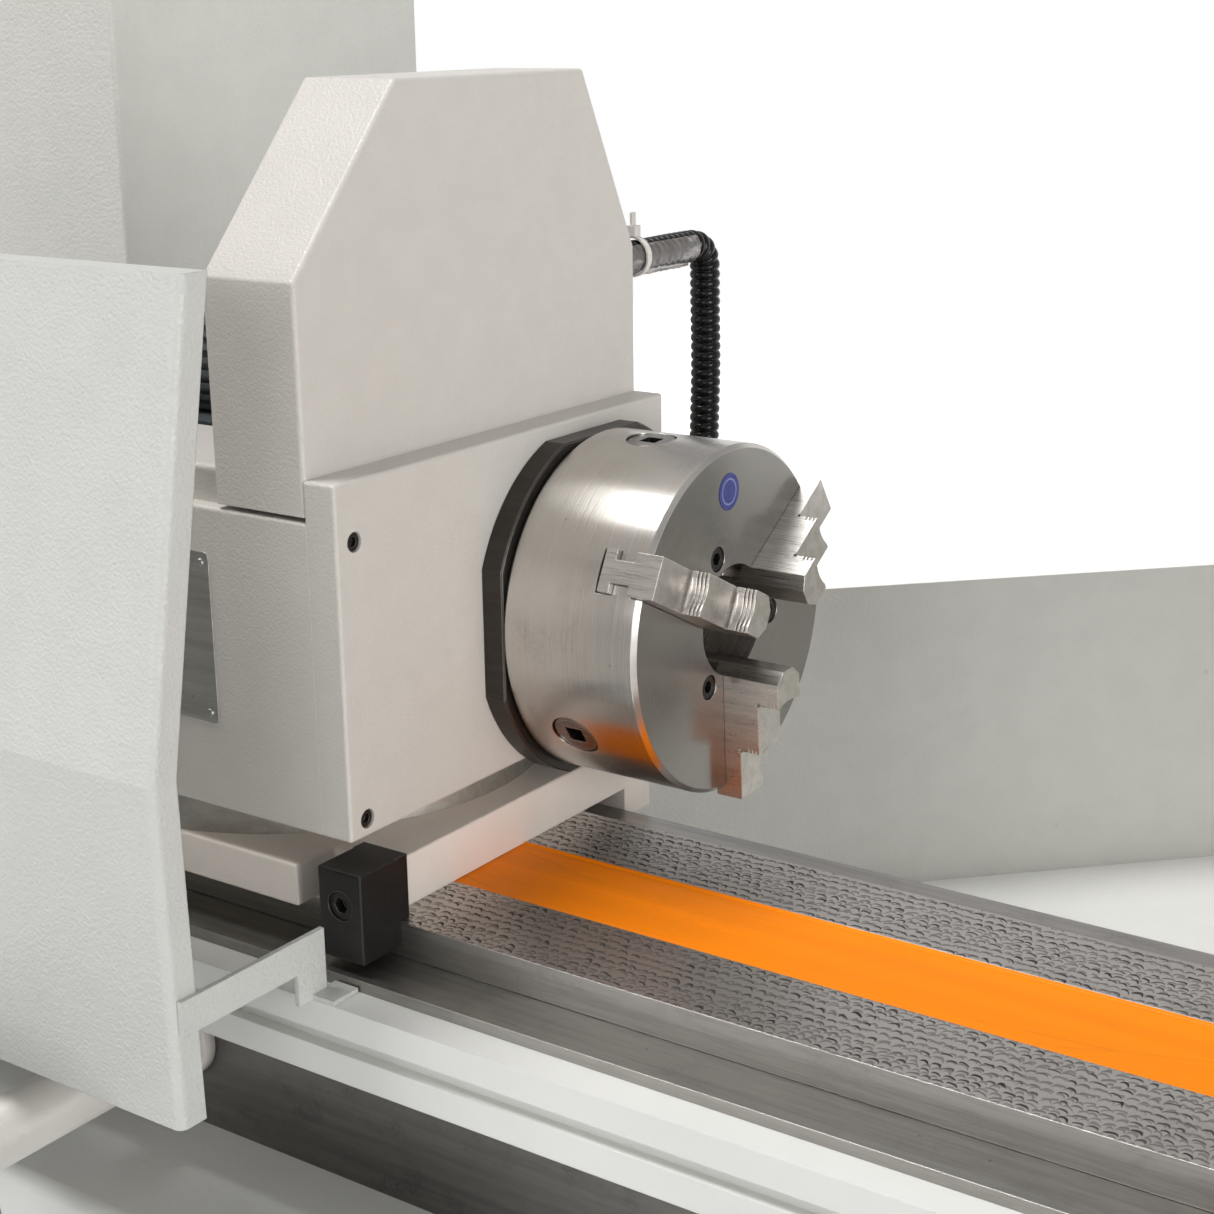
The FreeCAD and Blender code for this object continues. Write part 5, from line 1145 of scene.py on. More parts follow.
class Palette:
    """The machine's finishes, made once for this pack."""

    def __init__(self, datum: Datum) -> None:
        """Works out the finishes that follow a piece's own axis.

        Args:
            datum: The pack's datum.
        """
        axis = (datum.x, datum.y, datum.z)
        table_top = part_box("swivel_table")[1].z
        self.paint = Enamel("machine_enamel", (198, 199, 194), 0.38)
        cast = {"grain": 0.0014, "depth": 0.00022}
        self.cast_paint = Enamel("casting_enamel", (202, 198, 191), 0.4, **cast)
        self.base_paint = Enamel("base_enamel", (232, 223, 214), 0.4, **cast)
        self.cabinet_paint = Enamel("cabinet_enamel", (206, 206, 199), 0.42, grain=0.0024,
                                    depth=0.0005)
        self.tray_paint = Enamel("tray_enamel", (222, 222, 218), 0.34, grain=0.004, depth=0.0001)
        # Painted light: the wall's enamel is made lighter to offset the wheelhead's shade on it.
        self.screen_paint = Enamel("screen_enamel_painted_light", (243, 243, 238), 0.4, depth=0.0003)
        # Painted shade: face=0.56 darkens the chuck's end faces.
        self.chuck_steel = TurnedSteel("chuck_steel", (200, 196, 191), 0.24, centre=axis,
                                       face=0.56)
        self.turned = TurnedSteel("turned_steel", (166, 163, 159), 0.3, centre=axis,
                                  anisotropy=0.5)
        self.jaw_steel = GroundSteel("jaw_steel", (206, 202, 197), 0.3, dirt=0.25)
        self.ground = GroundSteel("ground_steel", (140, 138, 135), 0.33)
        self.socket_steel = GroundSteel("socket_steel", (118, 114, 110), 0.3, dirt=0.5)
        self.scraped = ScrapedSteel("scraped_table_steel", (168, 164, 160), 0.36, dirt=0.35,
                                    top=table_top)
        self.slide_steel = GroundSteel("slide_steel", (112, 110, 107), 0.4, dirt=0.7)
        self.ledge_steel = GroundSteel("ledge_steel", (158, 156, 151), 0.38, dirt=0.35)
        self.ring_steel = GroundSteel("ring_steel", (190, 187, 180), 0.42, dirt=0.14)
        self.black = GroundSteel("blackened_steel", (44, 42, 41), 0.38, dirt=0.3,
                                 metallic=0.65, worn=0.16)
        self.backplate = GroundSteel("backplate_steel", (66, 62, 58), 0.36, dirt=0.3,
                                     metallic=0.85, worn=0.3)
        self.plate = GroundSteel("bare_label_plate", (196, 196, 194), 0.34, dirt=0.12)
        self.motor_paint = Enamel("motor_enamel", (70, 74, 78), 0.42, grain=0.0012)
        self.rubber = Moulded("belt_rubber", (32, 32, 33), 0.7)
        self.hose = Moulded("hose_skin", (12, 11, 11), 0.24, grain=0.0015, depth=0.00002,
                            scuff=0.01, shine=0.25)
        under = datum.place(np.array((0.0, 0.0, Workhead.hose_axis[1] - Workhead.tape_radius)))
        self.film = ClearFilm("tape_skin", (92, 87, 84), 0.3, free=float(under[2]) + 0.0012)
        self.tie = Moulded("tie_nylon", (216, 210, 204), 0.4)
        self.abrasive = Grit("wheel_abrasive", (206, 190, 184), 0.85)
        self.chrome = TurnedSteel("polished_chrome", (214, 214, 214), 0.12, anisotropy=0.0,
                                  dirt=0.1)
        self.green = Moulded("start_plastic", (38, 132, 66), 0.32, coat=0.3)
        self.red = Moulded("stop_plastic", (178, 34, 28), 0.3, coat=0.3)
        self.orange = BrushPaint("recess_paint", (250, 134, 2), 0.45)
        middle = datum.place(np.array((0.0, *Chuck.sticker_middle)))
        self.sticker = RingedLabel("round_label", (34, 44, 116), 0.36,
                                   centre=(float(middle[1]), float(middle[2])),
                                   radius=Chuck.sticker_radius * MM)
        self.ink = Moulded("scale_ink", (38, 37, 36), 0.6)


@dataclass
class Assembly:
    """A sub-assembly with its datum and its palette.

    Attributes:
        datum: The pack's datum.
        palette: The finishes.
    """

    datum: Datum
    palette: Palette

    def build(self) -> None:
        """Dresses the CAD solids and adds the assembly's own pieces."""
        raise NotImplementedError

    def add(self, name: str, part: tuple, finish: Finish, body: str, slot: str,
            smooth: bool = False) -> bpy.types.Object:
        """Adds a piece that rides on a body.

        Args:
            name: Its name.
            part: Its points in millimetres about the chuck's face, and its faces.
            finish: Its finish.
            body: The CAD body that it rides on.
            slot: Name of a record's slot; not used.
            smooth: Whether its faces are shaded as one skin.

        Returns:
            The piece.
        """
        points, faces = part
        piece = make_mesh(name, self.datum.place(points), faces, finish, smooth)
        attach(piece, body)
        LOG.info("%s: %d points on %s", name, len(points), body)
        return piece

    def on_ring(self, figure: np.ndarray, angle: float, radius: float,
                centre: np.ndarray) -> np.ndarray:
        """Bends a flat figure round an upright cylinder.

        A point (x, y, z) goes to the angle t = angle + x / radius from -Y towards +X, at the
        distance radius + z, and y is its height.

        Args:
            figure: The flat points.
            angle: The angle of its middle.
            radius: The cylinder's radius.
            centre: A point of the axis.

        Returns:
            The bent points.
        """
        turn = angle + figure[:, 0] / radius
        out = radius + figure[:, 2]
        return centre + np.stack([out * np.sin(turn), -out * np.cos(turn), figure[:, 1]], -1)


@dataclass
class Chuck(Assembly):
    """Three-jaw chuck on its spindle.

    Attributes:
        sticker_middle: Middle of the round label, Y and Z.
        sticker_radius: Its radius.
        sticker_thickness: Its thickness.
    """

    sticker_middle: tuple[float, float] = (-5.0, 75.0)
    sticker_radius: float = 10.5
    sticker_thickness: float = 0.25

    def build(self) -> None:
        """Dresses the chuck and puts its round label on."""
        look = self.palette
        look.chuck_steel.dress("chuck_body")
        look.backplate.dress("backplate")
        look.black.dress("chuck_face_screws", "spindle_pulley")
        look.turned.dress("workhead_spindle", "scroll_plate", "spindle_bearings")
        look.socket_steel.dress("pinion_collars", "chuck_pinion_1", "chuck_pinion_2",
                          "chuck_pinion_3")
        look.jaw_steel.dress("chuck_jaw_1", "chuck_jaw_2", "chuck_jaw_3")
        r, t = self.sticker_radius, self.sticker_thickness
        profile = np.array([(0.05, 0.01), (0.05, r - 0.1), (t * 0.7, r), (t, r - 0.3), (t, 0.01)])
        points, faces = revolve(profile, Axis.X, 64)
        points = points + np.array((0.0, *self.sticker_middle))
        self.add("round_label", (points, faces), look.sticker, "spindle", "tie_plastic")


@dataclass
class Workhead(Assembly):
    """Motor-driven workhead with its cover, hose and label plate.

    Attributes:
        hose_route: Control points of the hose, in millimetres.
        hose_crest: Radius over its ribs.
        hose_root: Radius between its ribs.
        hose_pitch: Distance between ribs.
        hose_steps: Points along one rib.
        hose_sides: Points round the hose.
        hose_axis: X and Z of the hose's level run.
        tape_span: Y of the tape's two ends.
        tape_radius: Radius of the tape over the ribs.
        tape_arc: Angles above the level between which it lies on the hose, in degrees.
        tape_flap: How far its lower edge hangs free.
        tape_wall: Thickness of the tape.
    """

    hose_route: tuple = ((-150, 84, 183), (-150, 130, 183), (-150, 172, 183.5),
                         (-150, 209, 183), (-150, 209, 146), (-150, 210.5, 100),
                         (-150, 207.5, 50), (-150, 209, 17), (-150, 209, -20),
                         (-150, 172, -20), (-150, 84, -20))
    hose_crest: float = 10.0
    hose_root: float = 8.4
    hose_pitch: float = 6.0
    hose_steps: int = 12
    hose_sides: int = 40
    hose_axis: tuple = (-150.0, 183.0)
    tape_span: tuple = (103.0, 187.0)
    tape_radius: float = 10.7
    tape_arc: tuple = (48.0, -100.0)
    tape_flap: float = 2.6
    tape_wall: float = 0.3

    def build(self) -> None:
        """Dresses the head and makes the hose."""
        look = self.palette
        look.cast_paint.dress("workhead_casting", "front_plate", "belt_cover")
        look.black.dress("front_plate_screws", "motor_pulley")
        look.plate.dress("name_plate")
        look.motor_paint.dress("workhead_motor")
        look.rubber.dress("workhead_belt")
        look.tie.dress("cable_tie")
        self.make_hose(self.make_tape())

    def line(self) -> np.ndarray:
        """Reads the hose's centreline off a NURBS curve of its route.

        Returns:
            Points in metres in the frame.
        """
        curve = bpy.data.curves.new("hose_route", "CURVE")
        curve.dimensions = "3D"
        spline = curve.splines.new("NURBS")
        route = self.datum.place(np.array(self.hose_route))
        spline.points.add(len(route) - 1)
        spline.points.foreach_set("co", np.c_[route, np.ones(len(route))].ravel())
        spline.order_u = 3
        spline.use_endpoint_u = True
        curve.resolution_u = 24
        return drawn(curve)[0]

    def make_tape(self) -> bpy.types.Object:
        """Lays a strip of tape on the hose's level run.

        At the angle a the strip is at the radius r = R + w, where w is a small wrinkle of y and
        a. Below its last angle it hangs straight down as a flap. The strip has an outer and an
        inner sheet, one wall apart, joined round their edge.

        Returns:
            The piece.
        """
        along = np.linspace(*self.tape_span, 57)
        angles = np.radians(np.linspace(*self.tape_arc, 29))
        y, a = np.meshgrid(along, angles, indexing="ij")
        wrinkle = 0.22 * np.sin(y * 0.9 + 3.0 * a) * np.sin(2.3 * a) + 0.12 * np.sin(y * 0.37)
        y = y + 1.6 * np.sin(2.0 * a) - 2.5 * a
        sheets = []
        for shift in (0.0, -self.tape_wall):
            radius = self.tape_radius + wrinkle + shift
            across = self.hose_axis[0] + radius * np.cos(a)
            up = self.hose_axis[1] + radius * np.sin(a)
            sheet = np.stack([across, y, up], -1)
            flap = sheet[:, -1, :] - (0.0, 0.0, self.tape_flap)
            flap[:, 0] += 0.5 * np.sin(along * 0.23) + shift
            sheets.append(np.concatenate([sheet, flap[:, None, :]], axis=1))
        rows, columns = sheets[0].shape[:2]
        points = np.concatenate([sheet.reshape(-1, 3) for sheet in sheets])
        outer = grid_faces(rows, columns, False, False)
        inner = outer[:, ::-1] + rows * columns
        grid = np.arange(rows * columns).reshape(rows, columns)
        rim = np.concatenate([grid[0, :-1], grid[:-1, -1], grid[-1, :0:-1], grid[:0:-1, 0]])
        after = np.roll(rim, -1)
        edge = np.stack([after, rim, rim + rows * columns, after + rows * columns], -1)
        faces = np.concatenate([outer, inner, edge]).tolist()
        piece = self.add("clear_tape", (points, faces), self.palette.film, "head", "clear_film",
                         True)
        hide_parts("hose_sleeve")
        return piece

    def make_hose(self, tape: bpy.types.Object) -> None:
        """Carries a ribbed circle along the centreline.

        At the distance s along it the radius is root + (crest - root) w, where w is
        |cos(pi s / pitch)| to the power 0.6, and the circle stands across the line's direction.

        Args:
            tape: The tape that goes with the hose; not used.
        """
        line = self.line()
        steps = np.linalg.norm(np.diff(line, axis=0), axis=1)
        reach = np.concatenate([[0.0], np.cumsum(steps)])
        total = reach[-1]
        ribs = round(total / (self.hose_pitch * MM))
        at = np.linspace(0, total, ribs * self.hose_steps + 1)
        middle = np.stack([np.interp(at, reach, line[:, k]) for k in range(3)], -1)
        way = np.gradient(middle, at, axis=0)
        way /= np.linalg.norm(way, axis=1)[:, None]
        side = np.broadcast_to((1.0, 0.0, 0.0), way.shape)
        up = np.cross(way, side)
        wave = np.abs(np.cos(math.pi * ribs * at / total)) ** 0.6
        radius = (self.hose_root + (self.hose_crest - self.hose_root) * wave) * MM
        turn = np.arange(self.hose_sides) * FULL_TURN / self.hose_sides
        rings = (middle[:, None, :]
                 + radius[:, None, None] * (np.cos(turn)[None, :, None] * side[:, None, :]
                                            + np.sin(turn)[None, :, None] * up[:, None, :]))
        piece = make_mesh("ribbed_hose", rings.reshape(-1, 3),
                          tube_faces(len(at), self.hose_sides), self.palette.hose)
        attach(piece, "head")
        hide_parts("motor_hose")
        LOG.info("ribbed_hose: %d ribs over %.3f m", ribs, total)


@dataclass
class SwivelBase(Assembly):
    """Base plate, graduated ring and clamp under the head.

    Attributes:
        scale_reach: Degrees marked each side of the front.
        tick_width: Width of a mark.
        figure_height: Height of the figures.
    """

    scale_reach: int = 100
    tick_width: float = 0.45
    figure_height: float = 4.6

    def build(self) -> None:
        """Dresses the base and marks the ring in degrees."""
        look = self.palette
        look.base_paint.dress("workhead_base")
        look.ring_steel.dress("swivel_ring")
        look.black.dress("clamp_block", "clamp_screw")
        low, high = self.datum.local("swivel_ring")
        centre = np.array(((low[0] + high[0]) / 2, (low[1] + high[1]) / 2, 0.0))
        radius = (high[0] - low[0]) / 2
        top = high[2] - 0.8
        degrees = np.arange(-self.scale_reach, self.scale_reach + 1)
        length = np.where(degrees % 10 == 0, 7.0, np.where(degrees % 5 == 0, 5.2, 3.4))
        turn = np.radians(degrees)
        out = np.stack([np.sin(turn), -np.cos(turn), np.zeros(len(turn))], -1)
        along = np.stack([np.cos(turn), np.sin(turn), np.zeros(len(turn))], -1)
        up = np.broadcast_to((0.0, 0.0, 1.0), out.shape)
        middle = centre + out * (radius + 0.02) + up * (top - length / 2)[:, None]
        halves = np.stack([np.full(len(turn), self.tick_width / 2), np.full(len(turn), 0.12),
                           length / 2], -1)
        ticks = boxes(middle, halves, np.stack([along, out, up], -1))
        figures = []
        for degree in range(-self.scale_reach, self.scale_reach + 1, 10):
            flat, faces = lettering(str(abs(degree)), self.figure_height, 0.2)
            flat = flat + np.array((0.0, top - 7.8 - self.figure_height, 0.05))
            figures.append((self.on_ring(flat, math.radians(degree), radius, centre), faces))
        self.add("swivel_scale", merge([ticks, *figures]), look.ink, "upper_table", "black_steel")


@dataclass
class Table(Assembly):
    """Scraped swivel table with its painted recess on the lower table.

    Attributes:
        recess: Front and rear of the painted recess, Y.
        recess_depth: Its depth under the table's top.
        paint_thickness: How thick the colour lies.
    """

    recess: tuple[float, float] = (-132.0, -64.0)
    recess_depth: float = 0.8
    paint_thickness: float = 0.35

    def build(self) -> None:
        """Dresses the table and lays the colour into its recess."""
        look = self.palette
        look.scraped.dress("swivel_table")
        look.ledge_steel.dress("lower_table")
        look.slide_steel.dress("table_rack")
        look.tray_paint.dress("front_rail")
        low, high = self.datum.local("swivel_table")
        front, rear = self.recess
        floor = high[2] - self.recess_depth + 0.03
        skin = floor + self.paint_thickness
        rim = high[2] + 0.1
        profile = np.array([(front + 0.05, floor), (front + 0.05, rim - 0.12),
                            (front + 0.4, rim - 0.3), (front + 1.2, skin), (rear - 3.4, skin),
                            (rear - 2.6, skin + 0.5), (rear - 1.9, rim + 0.25),
                            (rear - 1.0, rim + 0.3), (rear - 0.05, rim - 0.1),
                            (rear - 0.05, floor)])
        strip = prism(profile, low[0] + 0.6, high[0] - 0.6, Axis.X)
        self.add("recess_colour", strip, look.orange, "upper_table", "scraped_steel")


@dataclass
class Bed(Assembly):
    """Bed, ways, splash screens, cabinet and operator's controls.

    Attributes:
        louvre_size: Width, height and depth of a louvre.
        louvre_count: Louvres in a bank.
        louvre_pitch: Distance between them.
        louvre_top: Height of the first.
        cover_size: Width and height of the covers on the bed's front.
        cover_places: Middle of each cover along X.
        cover_level: Height of their middle.
        cover_screw_inset: From a cover's edge to its screws.
        panel_screw_inset: From the panel's edge to its screws.
        bank_offset: From the cabinet's middle to a bank of louvres.
        lower_bank_rise: From the floor to the last louvre of a lower bank.
        rear_flange: From the cabinet's rearmost point to its rear sheet.
        handle_reach: From the door's handle to its sheet.
    """

    louvre_size: tuple[float, float, float] = (120.0, 11.0, 6.0)
    louvre_count: int = 9
    louvre_pitch: float = 20.0
    louvre_top: float = 300.0
    cover_size: tuple[float, float] = (420.0, 380.0)
    cover_places: tuple[float, ...] = (-480.0, 245.0, 970.0)
    cover_level: float = -730.0
    cover_screw_inset: float = 16.0
    panel_screw_inset: float = 9.0
    bank_offset: float = 85.0
    lower_bank_rise: float = 120.0
    rear_flange: float = 14.0
    handle_reach: float = 24.0

    def build(self) -> None:
        """Dresses the fixed sheet metal and its controls."""
        look = self.palette
        look.tray_paint.dress("bed")
        look.slide_steel.dress("bed_ways")
        # Painted light: the splash wall gets the lightened enamel.
        look.screen_paint.dress("splash_wall")
        look.paint.dress("splash_guard", "guard_arms", "control_panel")
        look.cabinet_paint.dress("electric_cabinet", "cabinet_door")
        look.green.dress("start_button")
        look.red.dress("stop_button")
        self.vent_cabinet()
        self.cover_bed()
        self.fit_panel()

    def bank(self, x: float, y: float, level: float, out: Sequence[float]) -> tuple:
        """Stacks louvres in a bank below a point of an upright sheet."""
        one = louvre(*self.louvre_size)
        return merge([stood(one, (x, y, level - k * self.louvre_pitch), out)
                      for k in range(self.louvre_count)])

    def vent_cabinet(self) -> None:
        """Presses louvres into the cabinet's rear and its door."""
        low, high = self.datum.local("electric_cabinet")
        door_low, door_high = self.datum.local("cabinet_door")
        rear = high[1] - self.rear_flange
        middle = (low[0] + high[0]) / 2
        low_top = low[2] + self.louvre_count * self.louvre_pitch + self.lower_bank_rise
        sides = (middle - self.bank_offset, middle + self.bank_offset)
        banks = merge([self.bank(side, rear, level, (0, 1, 0))
                       for side in sides for level in (self.louvre_top, low_top)])
        self.add("cabinet_louvres", banks, self.palette.cabinet_paint, "frame", "painted_sheet")
        face = door_low[0] + self.handle_reach
        across = (door_low[1] + door_high[1]) / 2
        banks = merge([self.bank(face, across, level, (-1, 0, 0))
                       for level in (self.louvre_top, low_top)])
        self.add("door_louvres", banks, self.palette.cabinet_paint, "door", "painted_sheet")

    def cover_bed(self) -> None:
        """Screws flat covers over the openings in the bed's front."""
        front = self.datum.local("bed")[0][1]
        width, height = self.cover_size
        covers, screws = [], []
        for x in self.cover_places:
            covers.append(stood(plate(width, height, 2.5, 14.0, 0.8),
                                (x, front - 0.05, self.cover_level), (0, -1, 0)))
            wide, tall = width / 2 - self.cover_screw_inset, height / 2 - self.cover_screw_inset
            for side in (-wide, wide):
                for rise in (-tall, tall):
                    place = (x + side, front - 2.5, self.cover_level + rise)
                    screws.append(stood(cap_head(6.0, 4.0, 2.5), place, (0, -1, 0)))
        self.add("bed_covers", merge(covers), self.palette.paint, "frame", "painted_sheet")
        self.add("bed_cover_screws", merge(screws), self.palette.black, "frame", "black_steel")

    def fit_panel(self) -> None:
        """Puts a collar round each button, and bare label plates and screws on the panel."""
        low, high = self.datum.local("control_panel")
        rings, plates, screws = [], [], []
        for node in ("start_button", "stop_button"):
            least, most = self.datum.local(node)
            radius = (most[0] - least[0]) / 2
            middle = (least + most) / 2
            profile = np.array([(0, radius + 0.8), (3.6, radius + 0.8), (4.0, radius + 1.4),
                                (2.6, radius + 4.6), (0, radius + 5.2)])
            place = (middle[0], low[1] - 0.05, middle[2])
            rings.append(stood(revolve(profile, Axis.Z, 48), place, (0, -1, 0)))
            plates.append(stood(plate(34.0, 11.0, 0.8, 1.5, 0.2),
                                (middle[0], low[1] - 0.05, high[2] - 17), (0, -1, 0)))
        inset = self.panel_screw_inset
        for x in (low[0] + inset, high[0] - inset):
            for z in (low[2] + inset, high[2] - inset):
                screws.append(stood(cap_head(3.4, 2.6, 1.5), (x, low[1], z), (0, -1, 0)))
        self.add("button_collars", merge(rings), self.palette.chrome, "frame", "bright_chrome")
        self.add("button_plates", merge(plates), self.palette.plate, "frame", "bare_plate")
        self.add("panel_screws", merge(screws), self.palette.black, "frame", "black_steel")


@dataclass
class Handwheels(Assembly):
    """Table and cross-feed handwheels, with graduated collars and bearing tubes.

    Attributes:
        collar_radius: Radius of a graduated collar.
        collar_length: Its length.
        tube_radius: Radius of a bearing tube.
        shaft_radius: Radius inside both.
        wheel_depth: From a wheel's middle to its hub's rear.
        divisions: Marks round a collar.
    """

    collar_radius: float = 31.0
    collar_length: float = 20.0
    tube_radius: float = 18.0
    shaft_radius: float = 11.4
    wheel_depth: float = 17.0
    divisions: int = 60

    def build(self) -> None:
        """Dresses the wheels, and fits a collar and a tube behind each."""
        look = self.palette
        look.chrome.dress("table_handwheel", "crossfeed_handwheel")
        look.turned.dress("pinion_shaft")
        shaft = self.datum.local("pinion_shaft")
        start = shaft[0][1] + 2 * self.wheel_depth + 0.3
        front = self.datum.local("bed_ways")[0][1]
        for node, body in (("table_handwheel", "handwheel"),
                           ("crossfeed_handwheel", "feed_handwheel")):
            low, high = self.datum.local(node)
            axis = np.array(((low[0] + high[0]) / 2, 0.0, (low[2] + high[2]) / 2))
            self.fit_collar(node, body, axis, start)
            self.fit_tube(node, axis, start + self.collar_length + 0.4, front - 0.05)

    def fit_collar(self, node: str, body: str, axis: np.ndarray, start: float) -> None:
        """Puts a collar with marks and figures on a shaft.

        A mark or figure at x along the rim turns by x / radius about the shaft.

        Args:
            node: The wheel's node.
            body: The body that turns with it.
            axis: A point of its axis.
            start: Where the collar starts along Y.
        """
        r, length = self.collar_radius, self.collar_length
        profile = np.array([(0, self.shaft_radius), (length, self.shaft_radius),
                            (length, r - 7), (length - 5, r), (0.8, r), (0, r - 0.8)])
        points, faces = revolve(profile, Axis.Y, 72)
        self.add(node + "_collar", (points + axis + (0, start, 0), faces), self.palette.plate,
                 body, "turned_steel", True)
        parts = []
        for k in range(self.divisions):
            reach = 5.0 if k % 5 == 0 else 3.0
            bar = boxes(np.array(((0.0, reach / 2, 0.0),)), np.array(((0.25, reach / 2, 0.1),)),
                        np.eye(3)[None])
            parts.append(self.wrapped(bar, k, axis, start + 1.2))
            if k % 10 == 0:
                text = lettering(str(k // 10), 4.2, 0.2)
                parts.append(self.wrapped((text[0] + (0, 6.4, 0.05), text[1]), k, axis,
                                          start + 1.2))
        self.add(node + "_scale", merge(parts), self.palette.ink, body, "black_steel")

    def wrapped(self, part: tuple, step: int, axis: np.ndarray, start: float) -> tuple:
        """Wraps a flat part round the collar at one division."""
        x, y, z = part[0].T
        turn = step * FULL_TURN / self.divisions + x / self.collar_radius
        out = self.collar_radius + z
        place = np.stack([out * np.sin(turn), y + start, out * np.cos(turn)], -1)
        return place + axis, part[1]

    def fit_tube(self, node: str, axis: np.ndarray, start: float, end: float) -> None:
        """Carries the shaft in a flanged tube from the slideways out to the collar."""
        r, inner = self.tube_radius, self.shaft_radius
        profile = np.array([(start, inner), (end, inner), (end, r + 7), (end - 8, r + 7),
                            (end - 9, r + 6), (end - 9, r + 2), (end - 12, r), (start + 1.5, r),
                            (start, r - 1.5)])
        points, faces = revolve(profile, Axis.Y, 64)
        self.add(node + "_tube", (points + axis, faces), self.palette.cast_paint, "frame",
                 "painted_casting", True)


@dataclass
class Wheelhead(Assembly):
    """Grinding wheel's head with its guard and motor.

    Attributes:
        bolt_ring: Radius of the ring of guard screws.
        bolt_angles: Their angles from +Y towards +Z, in degrees.
    """

    bolt_ring: float = 221.5
    bolt_angles: tuple[float, ...] = (-80.0, -45.0, -10.0, 25.0, 60.0, 95.0, 122.0)

    def build(self) -> None:
        """Dresses the wheelhead and screws its guard together."""
        look = self.palette
        look.cast_paint.dress("wheelhead_body", "wheelhead_base", "wheel_belt_cover")
        look.paint.dress("wheel_guard")
        look.motor_paint.dress("wheel_motor")
        look.abrasive.dress("grinding_wheel")
        look.turned.dress("wheel_flanges", "wheel_spindle")
        look.black.dress("wheel_motor_pulley")
        look.rubber.dress("wheel_belt")
        low, high = self.datum.local("wheel_guard")
        wheel = self.datum.local("grinding_wheel")
        middle = (wheel[0] + wheel[1]) / 2
        screws = []
        for angle in np.radians(self.bolt_angles):
            y = middle[1] + self.bolt_ring * math.cos(angle)
            z = middle[2] + self.bolt_ring * math.sin(angle)
            screws.append(stood(cap_head(4.2, 3.4, 2.0), (low[0], y, z), (-1, 0, 0)))
            screws.append(stood(cap_head(4.2, 3.4, 2.0), (high[0], y, z), (1, 0, 0)))
        self.add("wheel_guard_screws", merge(screws), look.black, "wheelhead", "black_steel")
        low, high = self.datum.local("wheel_belt_cover")
        drives = [self.datum.local(node) for node in ("wheel_spindle", "wheel_motor_pulley")]
        places = [(high[0], *((a + b) / 2)[1:]) for a, b in drives]
        screws = [stood(cap_head(8.0, 6.0, 3.5), place, (1, 0, 0)) for place in places]
        self.add("wheel_belt_cover_screws", merge(screws), look.black, "wheelhead", "black_steel")


@dataclass
class Tailstock(Assembly):
    """Tailstock with its sprung quill and lever."""

    def build(self) -> None:
        """Dresses the tailstock."""
        look = self.palette
        look.cast_paint.dress("tailstock_body")
        look.turned.dress("tailstock_quill")
        look.ground.dress("tailstock_centre", "tailstock_lever")


@dataclass(frozen=True)
class Lamp:
    """A far soft lamp.

    Attributes:
        name: Its name.
        strength: Its strength.
        spread: How wide it looks, in degrees.
        way: Where its light comes from.
    """

    name: str
    strength: float
    spread: float
    way: tuple[float, float, float]


